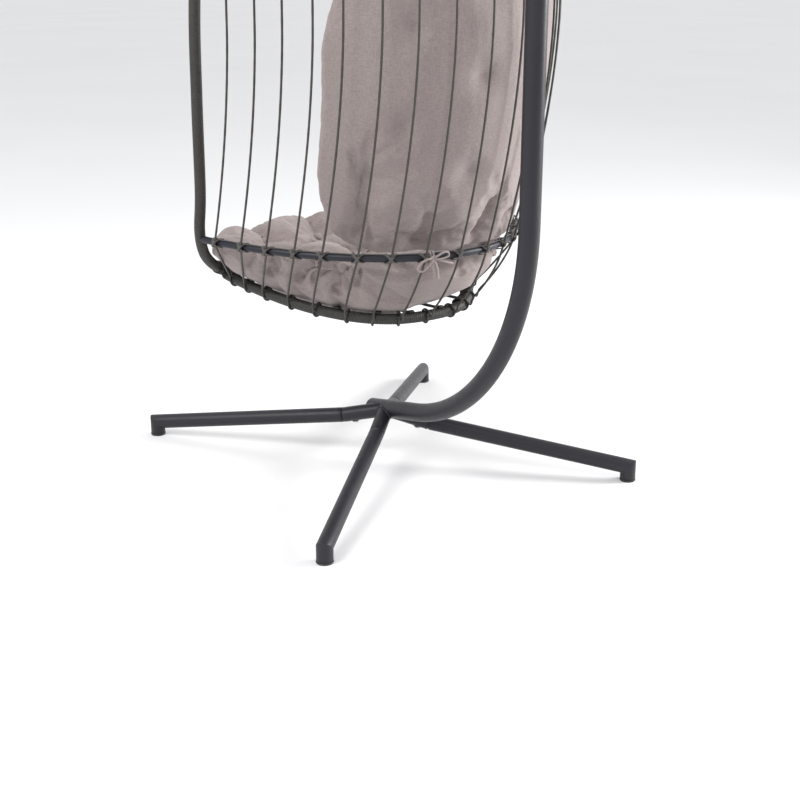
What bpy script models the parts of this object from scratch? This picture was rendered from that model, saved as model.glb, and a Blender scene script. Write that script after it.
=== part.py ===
"""Hanging egg chair: four-legged stand with a bent post, swivel gear and a strand basket with cushions.

Metres, +Z up.  The chair faces -Y, the post stands behind it at +Y.  The dimensions below are measured
from the point on the ground under the hub; one root empty moves the whole chair so that the origin is
the bottom centre of its box.
"""
import bpy
import bmesh
import math
from mathutils import Vector, Matrix

# ---------------------------------------------------------------- driving dimensions
ORIGIN_SHIFT_Y = -0.0547          # puts the origin at the bottom centre of the whole box
GAP = 0.0003                      # running clearance between neighbouring pieces

FOOT_X = 0.360                    # foot centres
FOOT_Y = 0.389
LEG_R = 0.016                     # leg tube, 32 mm
LEG_BORE = 0.0142
HUB_Y = 0.017                     # the legs meet a little behind the middle of the feet
STUB_LEN = 0.095                  # hub centre to the seam between stub and leg
STUB_Z0 = 0.114                   # stub centre line at the hub centre
STUB_Z1 = 0.0915                  # and at the seam
FOOT_TOP_Z = 0.0305               # leg centre line over the foot
CAP_T = 0.004                     # foot cap flange
SOCKET_R = 0.0140
SPIGOT_R = 0.0132
BOLT_AT = 0.072

POST_R = 0.019                    # post tube, 38 mm
POST_BORE = 0.0170
TAIL_Y = -0.036                   # lower end of the post, just past the crossing
TAIL_Z = 0.1033
LOW_BEND_R = 0.456                # lower bend: centre and angle where the straight tail meets it
LOW_BEND_Y = 0.036
LOW_BEND_Z = 0.587
LOW_BEND_START = 12.6
BEND_R = 0.470                    # upper bend
BEND_Y = 0.022
JOINT_Z = 1.000                   # seam between lower and upper post
SPIGOT_UP = 0.090
TOP_BEND_Z = 1.450
TIP_Y = -0.062

EYE_Y = 0.0                       # hanging axis
EYE_BAR = 0.005
EYE_MAJOR = 0.018

HOOP_R = 0.011                    # front hoop with its wrap
HOOP_BORE = 0.0085
HOOP = [(0.0, -0.350, 0.372), (0.120, -0.325, 0.377), (0.210, -0.262, 0.390), (0.270, -0.212, 0.412),
        (0.313, -0.166, 0.442), (0.340, -0.132, 0.475), (0.353, -0.112, 0.520), (0.358, -0.088, 0.600),
        (0.370, -0.055, 0.780), (0.375, -0.032, 0.950), (0.362, -0.016, 1.150), (0.320, -0.006, 1.330),
        (0.240, -0.002, 1.480), (0.125, 0.000, 1.585), (0.0, 0.0, 1.620)]

RING_R = 0.00725                  # mid ring, bare tube
RING_BORE = 0.0058
RING_Z = 0.500
RING_A = 0.377
RING_B = 0.600
RING_YC = -0.328
RING_END_DEG = 67.6
KNOT_DEG = [0.0, 10.3, 19.4, 27.7, 36.3, 43.0, 49.9, 56.4, 63.5]

BASE_R = 0.011                    # bottom ring with its wrap
BASE_BORE = 0.0085
BASE_A = 0.262
BASE_B = 0.600
BASE_YC = -0.430
BASE_N = 2.43
BASE_END = [(0.0, 0.171), (0.058, 0.162), (0.105, 0.144), (0.153, 0.119), (0.188, 0.059),
            (0.211, -0.002), (0.221, -0.072), (0.234, -0.129), (0.248, -0.178)]

STRAND_R = 0.00215
HOOK_OUT = [0.026, 0.026, 0.026, 0.024, 0.020, 0.0150, 0.0146, 0.0146, 0.0146]     # how far each strand stands off the bottom ring
HOOK_UP = [0.017, 0.017, 0.017, 0.016, 0.014, 0.012, 0.010, 0.010, 0.010]
WIDE_Z = 0.950                    # height of the basket's widest section
WIDE_A = 0.395
WIDE_B = 0.575
WIDE_YC = -0.200
CROWN_R = 0.040
CROWN_BAR = 0.004
CROWN_Z = 1.612

STRAP_R = 0.0045
STRAP_X = [0.035, 0.098, 0.159]
STRAP_SAG = [0.030, 0.026, 0.020]

LASH_R = 0.0013

# ---------------------------------------------------------------- scene set-up
for old in list(bpy.data.objects):
    bpy.data.objects.remove(old, do_unlink=True)
chair = bpy.data.collections.new("hanging_egg_chair")
bpy.context.scene.collection.children.link(chair)
cutters = bpy.data.collections.new("cutters")
bpy.context.scene.collection.children.link(cutters)
root = bpy.data.objects.new("chair_root", None)
root.location = (0.0, ORIGIN_SHIFT_Y, 0.0)
chair.objects.link(root)


def material(name, colour, roughness, metallic):
    mat = bpy.data.materials.new(name)
    mat.use_nodes = True
    shader = mat.node_tree.nodes["Principled BSDF"]
    shader.inputs["Base Color"].default_value = (colour[0], colour[1], colour[2], 1.0)
    shader.inputs["Roughness"].default_value = roughness
    shader.inputs["Metallic"].default_value = metallic
    return mat


POWDER = material("powder_coat", (0.055, 0.053, 0.058), 0.42, 0.0)
BLACK = material("black_plastic", (0.020, 0.020, 0.021), 0.55, 0.0)
STEEL = material("zinc_steel", (0.55, 0.55, 0.56), 0.32, 1.0)
WICKER = material("wicker", (0.060, 0.055, 0.050), 0.60, 0.0)
TWINE = material("twine", (0.110, 0.115, 0.100), 0.75, 0.0)
CLOTH = material("cushion_cloth", (0.270, 0.230, 0.215), 0.95, 0.0)


# ---------------------------------------------------------------- mesh helpers
def mesh_object(name, verts, faces, mat, pivot=(0, 0, 0), where=None):
    """One closed mesh with its object origin on pivot."""
    pivot = Vector(pivot)
    mesh = bpy.data.meshes.new(name)
    mesh.from_pydata([tuple(Vector(p) - pivot) for p in verts], [], faces)
    mesh.validate()
    bm = bmesh.new()
    bm.from_mesh(mesh)
    bmesh.ops.recalc_face_normals(bm, faces=bm.faces)
    bm.to_mesh(mesh)
    bm.free()
    obj = bpy.data.objects.new(name, mesh)
    obj.location = pivot
    obj.parent = root
    (where or chair).objects.link(obj)
    if mat:
        mesh.materials.append(mat)
    return obj


def path_frames(path, closed):
    """For each path point, the unit section axes projected on the mitre plane."""
    pts = [Vector(p) for p in path]
    n = len(pts)
    segs = []
    for i in range(n if closed else n - 1):
        segs.append((pts[(i + 1) % n] - pts[i]).normalized())
    first = segs[0]
    side = first.cross(Vector((0, 0, 1)))
    if side.length < 0.2:
        side = first.cross(Vector((1, 0, 0)))
    u = side.normalized()
    w = first.cross(u).normalized()
    frames = []
    previous = segs[-1] if closed else segs[0]
    if closed:
        bisector = (segs[-1] + segs[0]).normalized()
        frames.append((pts[0], u, w, first, bisector))
        start = 1
    else:
        frames.append((pts[0], u, w, first, first))
        start = 1
    previous = segs[0]
    for i in range(start, n):
        t_in = previous
        last = (i == n - 1) and not closed
        t_out = t_in if last else segs[i % len(segs)]
        bisector = (t_in + t_out).normalized()
        frames.append((pts[i], u.copy(), w.copy(), t_in, bisector))
        turn = t_in.rotation_difference(t_out)
        u = (turn @ u).normalized()
        w = (turn @ w).normalized()
        previous = t_out
    return frames


def section(frame, radius, sides):
    centre, u, w, tangent, normal = frame
    ring = []
    for k in range(sides):
        ang = 2 * math.pi * (k + 0.5) / sides
        d = (u * math.cos(ang) + w * math.sin(ang)) * radius
        d = d - tangent * (d.dot(normal) / tangent.dot(normal))
        ring.append(centre + d)
    return ring


def tube(name, path, radius, sides, mat, bore=None, pivot=(0, 0, 0), where=None):
    """Round tube or bar along a path; radius and bore may be lists, one value a point."""
    n = len(path)
    outer = radius if isinstance(radius, list) else [radius] * n
    frames = path_frames(path, False)
    verts = []
    faces = []
    for i in range(n):
        verts += section(frames[i], outer[i], sides)
    for i in range(n - 1):
        for k in range(sides):
            a = i * sides + k
            b = i * sides + (k + 1) % sides
            faces.append((a, b, b + sides, a + sides))
    if bore is None:
        faces.append(tuple(range(sides - 1, -1, -1)))
        faces.append(tuple(range((n - 1) * sides, n * sides)))
        return mesh_object(name, verts, faces, mat, pivot, where)
    inner = bore if isinstance(bore, list) else [bore] * n
    base = len(verts)
    for i in range(n):
        verts += section(frames[i], inner[i], sides)
    for i in range(n - 1):
        for k in range(sides):
            a = base + i * sides + k
            b = base + i * sides + (k + 1) % sides
            faces.append((b, a, a + sides, b + sides))
    end = (n - 1) * sides
    for k in range(sides):
        k2 = (k + 1) % sides
        faces.append((k2, k, base + k, base + k2))
        faces.append((end + k, end + k2, base + end + k2, base + end + k))
    return mesh_object(name, verts, faces, mat, pivot, where)


def loop_tube(name, path, radius, sides, mat, pivot=(0, 0, 0), where=None):
    """Round bar along a closed planar or nearly planar loop."""
    n = len(path)
    frames = path_frames(path, True)
    verts = []
    faces = []
    for i in range(n):
        verts += section(frames[i], radius, sides)
    for i in range(n):
        j = (i + 1) % n
        for k in range(sides):
            k2 = (k + 1) % sides
            faces.append((i * sides + k, i * sides + k2, j * sides + k2, j * sides + k))
    return mesh_object(name, verts, faces, mat, pivot, where)


def lathe(name, profile, base, axis, steps, mat, pivot=None, where=None, loop=False):
    """Turned solid.  profile is (radius, distance along axis); loop closes it on itself (a bored part)."""
    axis = Vector(axis).normalized()
    base = Vector(base)
    u = axis.cross(Vector((0, 0, 1)))
    if u.length < 0.2:
        u = Vector((1, 0, 0))
    u.normalize()
    w = axis.cross(u)
    verts = []
    rows = []
    for r, h in profile:
        if r < 1e-7:
            verts.append(base + axis * h)
            rows.append([len(verts) - 1])
        else:
            row = []
            for k in range(steps):
                ang = 2 * math.pi * k / steps
                verts.append(base + axis * h + (u * math.cos(ang) + w * math.sin(ang)) * r)
                row.append(len(verts) - 1)
            rows.append(row)
    faces = []
    count = len(rows) if loop else len(rows) - 1
    for i in range(count):
        a = rows[i]
        b = rows[(i + 1) % len(rows)]
        for k in range(steps):
            k2 = (k + 1) % steps
            if len(a) == 1 and len(b) == 1:
                continue
            if len(a) == 1:
                faces.append((a[0], b[k2], b[k]))
            elif len(b) == 1:
                faces.append((a[k], a[k2], b[0]))
            else:
                faces.append((a[k], a[k2], b[k2], b[k]))
    return mesh_object(name, verts, faces, mat, pivot if pivot is not None else base, where)


def box(name, lo, hi, where=None, pivot=(0, 0, 0)):
    xs = (lo[0], hi[0])
    ys = (lo[1], hi[1])
    zs = (lo[2], hi[2])
    verts = [(x, y, z) for x in xs for y in ys for z in zs]
    faces = [(0, 1, 3, 2), (4, 6, 7, 5), (0, 4, 5, 1), (2, 3, 7, 6), (0, 2, 6, 4), (1, 5, 7, 3)]
    return mesh_object(name, verts, faces, None, pivot, where)


def combine(target, tool, operation):
    """Exact Boolean of target with tool; the tool stays in the cutters collection."""
    tool.hide_render = True
    tool.display_type = "WIRE"
    mod = target.modifiers.new(tool.name, "BOOLEAN")
    mod.solver = "EXACT"
    mod.operation = operation
    mod.object = tool
    return target


def smooth_path(points, per):
    """Centripetal-like smooth curve through points (uniform Catmull-Rom), per pieces a span."""
    pts = [Vector(p) for p in points]
    out = []
    for i in range(len(pts) - 1):
        p1 = pts[i]
        p2 = pts[i + 1]
        p0 = pts[i - 1] if i > 0 else p1 + (p1 - p2)
        p3 = pts[i + 2] if i + 2 < len(pts) else p2 + (p2 - p1)
        for k in range(per):
            s = k / per
            out.append(0.5 * ((2 * p1) + (p2 - p0) * s + (2 * p0 - 5 * p1 + 4 * p2 - p3) * s * s
                              + (3 * p1 - p0 - 3 * p2 + p3) * s * s * s))
    out.append(pts[-1])
    return out


def resample_loop(points, count):
    """Equal steps round a closed polyline, starting at its first point."""
    pts = [Vector(p) for p in points] + [Vector(points[0])]
    lengths = [0.0]
    for a, b in zip(pts, pts[1:]):
        lengths.append(lengths[-1] + (b - a).length)
    out = []
    j = 0
    for i in range(count):
        want = lengths[-1] * i / count
        while lengths[j + 1] < want:
            j += 1
        f = (want - lengths[j]) / (lengths[j + 1] - lengths[j])
        out.append(pts[j].lerp(pts[j + 1], f))
    return out


def smooth_loop(points, per):
    pts = [Vector(p) for p in points]
    n = len(pts)
    out = []
    for i in range(n):
        p0 = pts[(i - 1) % n]
        p1 = pts[i]
        p2 = pts[(i + 1) % n]
        p3 = pts[(i + 2) % n]
        for k in range(per):
            s = k / per
            out.append(0.5 * ((2 * p1) + (p2 - p0) * s + (2 * p0 - 5 * p1 + 4 * p2 - p3) * s * s
                              + (3 * p1 - p0 - 3 * p2 + p3) * s * s * s))
    return out


# ---------------------------------------------------------------- stand
LEGS = [("front_left", 1, -1), ("front_right", -1, -1), ("rear_left", 1, 1), ("rear_right", -1, 1)]


def stub_point(sx, sy, r):
    """Point on a stub's centre line at distance r from the crossing, seen from above."""
    run = Vector((sx * FOOT_X, sy * FOOT_Y - HUB_Y, 0.0)).normalized()
    return Vector((run.x * r, HUB_Y + run.y * r, STUB_Z0 + (STUB_Z1 - STUB_Z0) * r / STUB_LEN))


def stub_axis(sx, sy):
    return (stub_point(sx, sy, STUB_LEN) - stub_point(sx, sy, 0.0)).normalized()


def stub_down(sx, sy):
    """Unit vector square to the stub, pointing down."""
    along = stub_axis(sx, sy)
    across = along.cross(Vector((0, 0, 1))).normalized()
    down = along.cross(across)
    return down if down.z < 0 else -down


def tail_dir():
    line = lower_post_line()
    return (line[1] - line[0]).normalized()


def lower_post_line():
    path = [Vector((0, TAIL_Y, TAIL_Z))]
    centre = Vector((0, LOW_BEND_Y, LOW_BEND_Z))
    for i in range(13):
        a = math.radians(LOW_BEND_START + (90.0 - LOW_BEND_START) * i / 12)
        path.append(centre + Vector((0, LOW_BEND_R * math.sin(a), -LOW_BEND_R * math.cos(a))))
    return path


def bolt_hole(name, sx, sy):
    at = stub_point(sx, sy, BOLT_AT)
    down = stub_down(sx, sy)
    return tube(name, [at + down * 0.004, at + down * 0.030], 0.0033, 12, None, where=cutters)


def build_leg(tag, sx, sy):
    along = stub_axis(sx, sy)
    seam = stub_point(sx, sy, STUB_LEN)
    foot = Vector((sx * FOOT_X, sy * FOOT_Y, FOOT_TOP_Z))
    slope = (foot - seam).normalized()
    path = [stub_point(sx, sy, 0.048), seam, seam + slope * 0.0010,
            foot, Vector((foot.x, foot.y, CAP_T + GAP))]
    leg = tube("leg_" + tag, path, [SPIGOT_R, SPIGOT_R, LEG_R, LEG_R, LEG_R], 16, POWDER,
               bore=[0.0118, 0.0118, LEG_BORE, LEG_BORE, LEG_BORE])
    combine(leg, bolt_hole("leg_hole_" + tag, sx, sy), "DIFFERENCE")
    cap = [(0.0, 0.0), (0.0155, 0.0), (0.0165, 0.001), (0.0165, CAP_T), (0.0135, CAP_T),
           (0.0135, 0.012), (0.0125, 0.013), (0.0, 0.013)]
    lathe("foot_cap_" + tag, cap, (foot.x, foot.y, 0.0), (0, 0, 1), 16, BLACK)
    at = stub_point(sx, sy, BOLT_AT)
    down = stub_down(sx, sy)
    head = LEG_R + GAP
    bolt = [(0.0, 0.0065), (0.0029, 0.0065), (0.0029, head), (0.0060, head), (0.0058, head + 0.0018),
            (0.0040, head + 0.0036), (0.0, head + 0.0040)]
    lathe("leg_bolt_" + tag, bolt, at, down, 12, STEEL)


def build_posts():
    top = JOINT_Z
    back = LOW_BEND_Y + LOW_BEND_R
    path = lower_post_line()
    path += [Vector((0, back, top - 0.0004)), Vector((0, back, top + 0.0006)), Vector((0, back, top + SPIGOT_UP))]
    n = len(path)
    lower = tube("lower_post", path, [POST_R] * (n - 2) + [0.0164, 0.0164], 20, POWDER)
    for tag, sx, sy in LEGS:
        stub = tube("stub_" + tag, [stub_point(sx, sy, -0.004), stub_point(sx, sy, STUB_LEN - 0.0014)], LEG_R, 16,
                    None, where=cutters)
        combine(lower, stub, "UNION")
        bore = tube("socket_" + tag, [stub_point(sx, sy, 0.046), stub_point(sx, sy, STUB_LEN + 0.02)],
                    SOCKET_R, 16, None, where=cutters)
        combine(lower, bore, "DIFFERENCE")
        combine(lower, bolt_hole("stub_hole_" + tag, sx, sy), "DIFFERENCE")
    core_path = [path[0] - tail_dir() * 0.02] + path[1:-1] + [path[-1] + Vector((0, 0, 0.02))]
    core = tube("post_core", core_path, [POST_BORE] * (n - 2) + [0.0140, 0.0140], 16, None, where=cutters)
    combine(lower, core, "DIFFERENCE")
    upper_path = [Vector((0, back, top + 0.0010)), Vector((0, back, TOP_BEND_Z))]
    centre = Vector((0, BEND_Y, TOP_BEND_Z))
    for i in range(1, 13):
        a = math.radians(90.0 * i / 12)
        upper_path.append(centre + Vector((0, BEND_R * math.cos(a), BEND_R * math.sin(a))))
    upper_path.append(Vector((0, TIP_Y, TOP_BEND_Z + BEND_R)))
    upper = tube("upper_post", upper_path, POST_R, 20, POWDER, bore=POST_BORE)
    for i, z in enumerate((top + 0.025, top + 0.065)):
        for post, tag in ((lower, "low"), (upper, "up")):
            hole = tube("post_hole_%s_%d" % (tag, i), [Vector((0, back + 0.004, z)), Vector((0, back + 0.03, z))],
                        0.0033, 12, None, where=cutters)
            combine(post, hole, "DIFFERENCE")
        head = POST_R + GAP
        bolt = [(0.0, 0.008), (0.0029, 0.008), (0.0029, head), (0.0060, head), (0.0057, head + 0.0020),
                (0.0035, head + 0.0034), (0.0, head + 0.0036)]
        lathe("post_bolt_%d" % (i + 1), bolt, (0, back, z), (0, 1, 0), 12, STEEL)
    z_top = TOP_BEND_Z + BEND_R
    hole = tube("eye_hole", [Vector((0, EYE_Y, z_top - 0.03)), Vector((0, EYE_Y, z_top + 0.03))],
                0.0054, 12, None, where=cutters)
    combine(upper, hole, "DIFFERENCE")
    plug = [(0.0, 0.0), (0.0120, 0.0), (0.0170, 0.0016), (0.0190, 0.0040), (0.0190, 0.0050), (0.0164, 0.0050),
            (0.0164, 0.0170), (0.0, 0.0170)]
    lathe("post_cap_lower", plug, path[0] - tail_dir() * 0.0053, tail_dir(), 20, BLACK)
    lathe("post_cap_upper", plug, (0, TIP_Y - 0.0053, z_top), (0, 1, 0), 20, BLACK)
    return z_top


def circle_path(centre, u, w, radius, count, start=0.0, sweep=360.0):
    centre = Vector(centre)
    pts = []
    closed = abs(sweep - 360.0) < 1e-6
    for i in range(count if closed else count + 1):
        a = math.radians(start + sweep * i / count)
        pts.append(centre + (Vector(u) * math.cos(a) + Vector(w) * math.sin(a)) * radius)
    return pts


# ---------------------------------------------------------------- hanging gear
def build_hanger(z_top):
    under = z_top - POST_R
    eye_z = under - 0.0055 - EYE_MAJOR - EYE_BAR
    eye = loop_tube("hanger_eye", circle_path((0, EYE_Y, eye_z), (1, 0, 0), (0, 0, 1), EYE_MAJOR, 18),
                    EYE_BAR, 10, STEEL)
    shank = [(0.0, 0.0), (EYE_BAR, 0.0), (EYE_BAR, 0.0047), (0.0095, 0.0047), (0.0095, 0.0100),
             (EYE_BAR, 0.0100), (EYE_BAR, 0.0625), (0.0, 0.0625)]
    collar = lathe("eye_shank", shank, (0, EYE_Y, eye_z + EYE_MAJOR), (0, 0, 1), 12, None, where=cutters)
    combine(eye, collar, "UNION")
    lathe("hanger_nut", [(0.0062, 0.0), (0.0105, 0.0), (0.0105, 0.008), (0.0062, 0.008)],
                (0, EYE_Y, z_top + POST_R + GAP), (0, 0, 1), 6, STEEL, loop=True)
    bar_z = eye_z - EYE_MAJOR                       # centre of the eye's lowest bar, the fore-and-aft pivot
    return bar_z


def build_snap_hook(bar_z):
    bar = 0.004
    half = 0.012
    top_z = bar_z + EYE_BAR + 0.0007 + bar - half       # centre of the upper bow
    low_z = top_z - 0.056                            # centre of the lower bow
    path = []
    path += circle_path((0, 0, top_z), (0, -1, 0), (0, 0, 1), half, 9, 0.0, 180.0)
    bow = circle_path((0, 0, low_z), (0, 1, 0), (0, 0, -1), half, 8, 15.0, 165.0)
    body_path = list(reversed(path)) + list(reversed(bow))
    body_path = [p + Vector((0, EYE_Y, 0)) for p in body_path]
    hook = tube("snap_hook", body_path, bar, 10, STEEL, pivot=(0, EYE_Y, bar_z))
    pivot_z = low_z + 0.0050
    pivot = Vector((0, EYE_Y + half, pivot_z))
    for side in (-1, 1):
        lo = (min(side * 0.0030, side * 0.0046), EYE_Y + half - 0.0032, low_z - 0.006)
        hi = (max(side * 0.0030, side * 0.0046), EYE_Y + half + 0.0032, pivot_z + 0.0032)
        combine(hook, box("cheek_%d" % (side + 1), lo, hi, cutters), "UNION")
    bore = tube("rivet_bore", [pivot + Vector((-0.02, 0, 0)), pivot + Vector((0.02, 0, 0))], 0.0016, 12, None,
                where=cutters)
    combine(hook, bore, "DIFFERENCE")
    gate_top = top_z - 0.0032                        # clears the eye as the gate swings in
    gate = tube("snap_hook_gate", [pivot + Vector((0, 0, -0.0024)), Vector((0, EYE_Y + half, gate_top))],
                0.0026, 12, STEEL, pivot=pivot)
    gate_bore = tube("gate_bore", [pivot + Vector((-0.02, 0, 0)), pivot + Vector((0.02, 0, 0))], 0.0016, 12,
                     None, where=cutters)
    combine(gate, gate_bore, "DIFFERENCE")
    rivet = [(0.0, -0.0058), (0.0024, -0.0055), (0.0024, -0.0049), (0.0012, -0.0049), (0.0012, 0.0049),
             (0.0024, 0.0049), (0.0024, 0.0055), (0.0, 0.0058)]
    lathe("gate_rivet", rivet, pivot, (1, 0, 0), 12, STEEL)
    return low_z - half                              # centre of the lowest bar, the side-to-side pivot


def build_swivel(low_bar_z):
    bar = 0.0035
    major = 0.0145
    eye_z = low_bar_z + 0.004 + 0.0007 + bar - major
    housing_top = eye_z - major - bar + 0.003
    drop = 0.034
    # cup with a captive seat for the stem's head
    cup = [(0.0, drop), (0.0095, drop), (0.0120, drop - 0.003), (0.0120, 0.002), (0.0105, 0.0), (0.0046, 0.0),
           (0.0046, 0.008), (0.0080, 0.008), (0.0080, 0.024), (0.0, 0.024)]
    housing = lathe("swivel_housing", cup, (0, EYE_Y, housing_top - drop), (0, 0, 1), 16, STEEL,
                    pivot=(0, EYE_Y, low_bar_z))
    eye = loop_tube("swivel_eye", circle_path((0, EYE_Y, eye_z), (1, 0, 0), (0, 0, 1), major, 16), bar, 8,
                    None, where=cutters)
    combine(housing, eye, "UNION")
    seat_z = housing_top - drop
    hoop_top = HOOP[-1][2] + HOOP_R
    low = HOOP[-1][2] - HOOP_R - 0.014
    stem = [(0.0, low), (0.0036, low), (0.0036, hoop_top + 0.0006), (0.0100, hoop_top + 0.0006),
            (0.0100, hoop_top + 0.0045), (0.0040, hoop_top + 0.0065), (0.0040, seat_z + 0.0083),
            (0.0072, seat_z + 0.0083), (0.0072, seat_z + 0.0170), (0.0, seat_z + 0.0170)]
    lathe("swivel_stem", stem, (0, EYE_Y, 0), (0, 0, 1), 12, STEEL)
    nut_z = HOOP[-1][2] - HOOP_R - 0.0034
    lathe("stem_nut", [(0.0046, -0.008), (0.0085, -0.008), (0.0085, 0.0), (0.0046, 0.0)], (0, EYE_Y, nut_z),
          (0, 0, 1), 6, STEEL, loop=True)


# ---------------------------------------------------------------- basket frame
def hoop_line():
    right = [Vector(p) for p in HOOP]
    left = [Vector((-p[0], p[1], p[2])) for p in reversed(HOOP[1:-1])]
    return resample_loop(smooth_loop(right + left, 8), 44)


def build_hoop():
    hoop = loop_tube("front_hoop", hoop_line(), HOOP_R, 12, WICKER)
    combine(hoop, loop_tube("hoop_core", hoop_line(), HOOP_BORE, 6, None, where=cutters), "DIFFERENCE")
    weep = tube("weep_hole", [Vector((0, HOOP[0][1], HOOP[0][2] - 0.020)), Vector((0, HOOP[0][1], HOOP[0][2] - 0.004))],
                0.0020, 8, None, where=cutters)
    combine(hoop, weep, "DIFFERENCE")
    stem_hole = tube("stem_hole", [Vector((0, 0, HOOP[-1][2] - 0.03)), Vector((0, 0, HOOP[-1][2] + 0.03))],
                     0.0041, 12, None, where=cutters)
    combine(hoop, stem_hole, "DIFFERENCE")


def ring_point(deg, z=RING_Z, out=0.0):
    a = math.radians(deg)
    n = ring_normal(deg)
    return Vector((RING_A * math.sin(a), RING_YC + RING_B * math.cos(a), z)) + n * out


def ring_normal(deg):
    a = math.radians(deg)
    return Vector((math.sin(a) / RING_A, math.cos(a) / RING_B, 0.0)).normalized()


def build_mid_ring():
    path = [ring_point(-RING_END_DEG + 2 * RING_END_DEG * i / 26) for i in range(27)]
    tube("mid_ring", path, RING_R, 10, POWDER, bore=RING_BORE)
    hoop = [Vector(p) for p in HOOP]
    for tag, s in (("left", 1), ("right", -1)):
        end = ring_point(s * RING_END_DEG)
        ahead = (ring_point(s * RING_END_DEG) - ring_point(s * (RING_END_DEG - 1.0))).normalized()
        target = hoop[5].lerp(hoop[6], (RING_Z - hoop[5].z) / (hoop[6].z - hoop[5].z))
        target.x *= s
        reach = (target - end).dot(ahead)
        stud = lathe("ring_stud_" + tag, [(0.0, -0.018), (0.0042, -0.018), (0.0042, 0.0006), (0.0066, 0.0006),
                                          (0.0066, 0.003), (0.0052, 0.003), (0.0052, reach), (0.0, reach)],
                     end, ahead, 12, POWDER)
        cope = loop_tube("stud_cope_" + tag, hoop_line(), HOOP_R + GAP, 12, None, where=cutters)
        combine(stud, cope, "DIFFERENCE")


def base_point(u_deg, out=0.0, up=0.0):
    """Bottom ring centre line; 0 degrees is the back."""
    a = math.radians(u_deg)
    s = math.sin(a)
    c = math.cos(a)
    x = BASE_A * math.copysign(abs(s) ** (2 / BASE_N), s)
    y = BASE_YC + BASE_B * abs(c) ** (2 / BASE_N)
    n = base_normal(x, y)
    return Vector((x, y, base_z(y) + up)) + n * out


def base_z(y):
    return 0.373 - 0.1 * y


def base_normal(x, y):
    gx = math.copysign(abs(x / BASE_A) ** (BASE_N - 1) / BASE_A, x)
    gy = abs((y - BASE_YC) / BASE_B) ** (BASE_N - 1) / BASE_B
    return Vector((gx, gy, 0.0)).normalized()


def base_half():
    """Bottom ring centre line from the back to its end under the hoop."""
    half = []
    for i in range(17):
        half.append(base_point(73.0 * (i / 16.0) ** 1.25))
    half.append(Vector((0.2560, -0.2045, 0.3975)))
    return half


def base_near(x, y):
    """Nearest point of the bottom ring's centre line to (x, y), with its outward normal."""
    best = None
    half = base_half()
    for a, b in zip(half, half[1:]):
        run = b - a
        f = ((x - a.x) * run.x + (y - a.y) * run.y) / (run.x ** 2 + run.y ** 2)
        f = max(0.0, min(1.0, f))
        p = a + run * f
        d = math.hypot(p.x - x, p.y - y)
        if best is None or d < best[0]:
            best = (d, p, Vector((-run.y, run.x, 0.0)).normalized())
    return best[1], best[2]


def build_base_ring():
    half = base_half()
    path = [Vector((-p.x, p.y, p.z)) for p in reversed(half[1:])] + half
    ring = tube("bottom_ring", path, BASE_R, 10, WICKER, bore=BASE_BORE)
    cope = loop_tube("base_cope", hoop_line(), HOOP_R + GAP, 12, None, where=cutters)
    combine(ring, cope, "DIFFERENCE")


def crown_centre():
    return Vector((0, EYE_Y + HOOP_R + GAP + CROWN_BAR + CROWN_R, CROWN_Z))


def build_crown():
    c = crown_centre()
    loop_tube("crown_ring", circle_path(c, (1, 0, 0), (0, 1, 0), CROWN_R, 20), CROWN_BAR, 8, POWDER)


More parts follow.
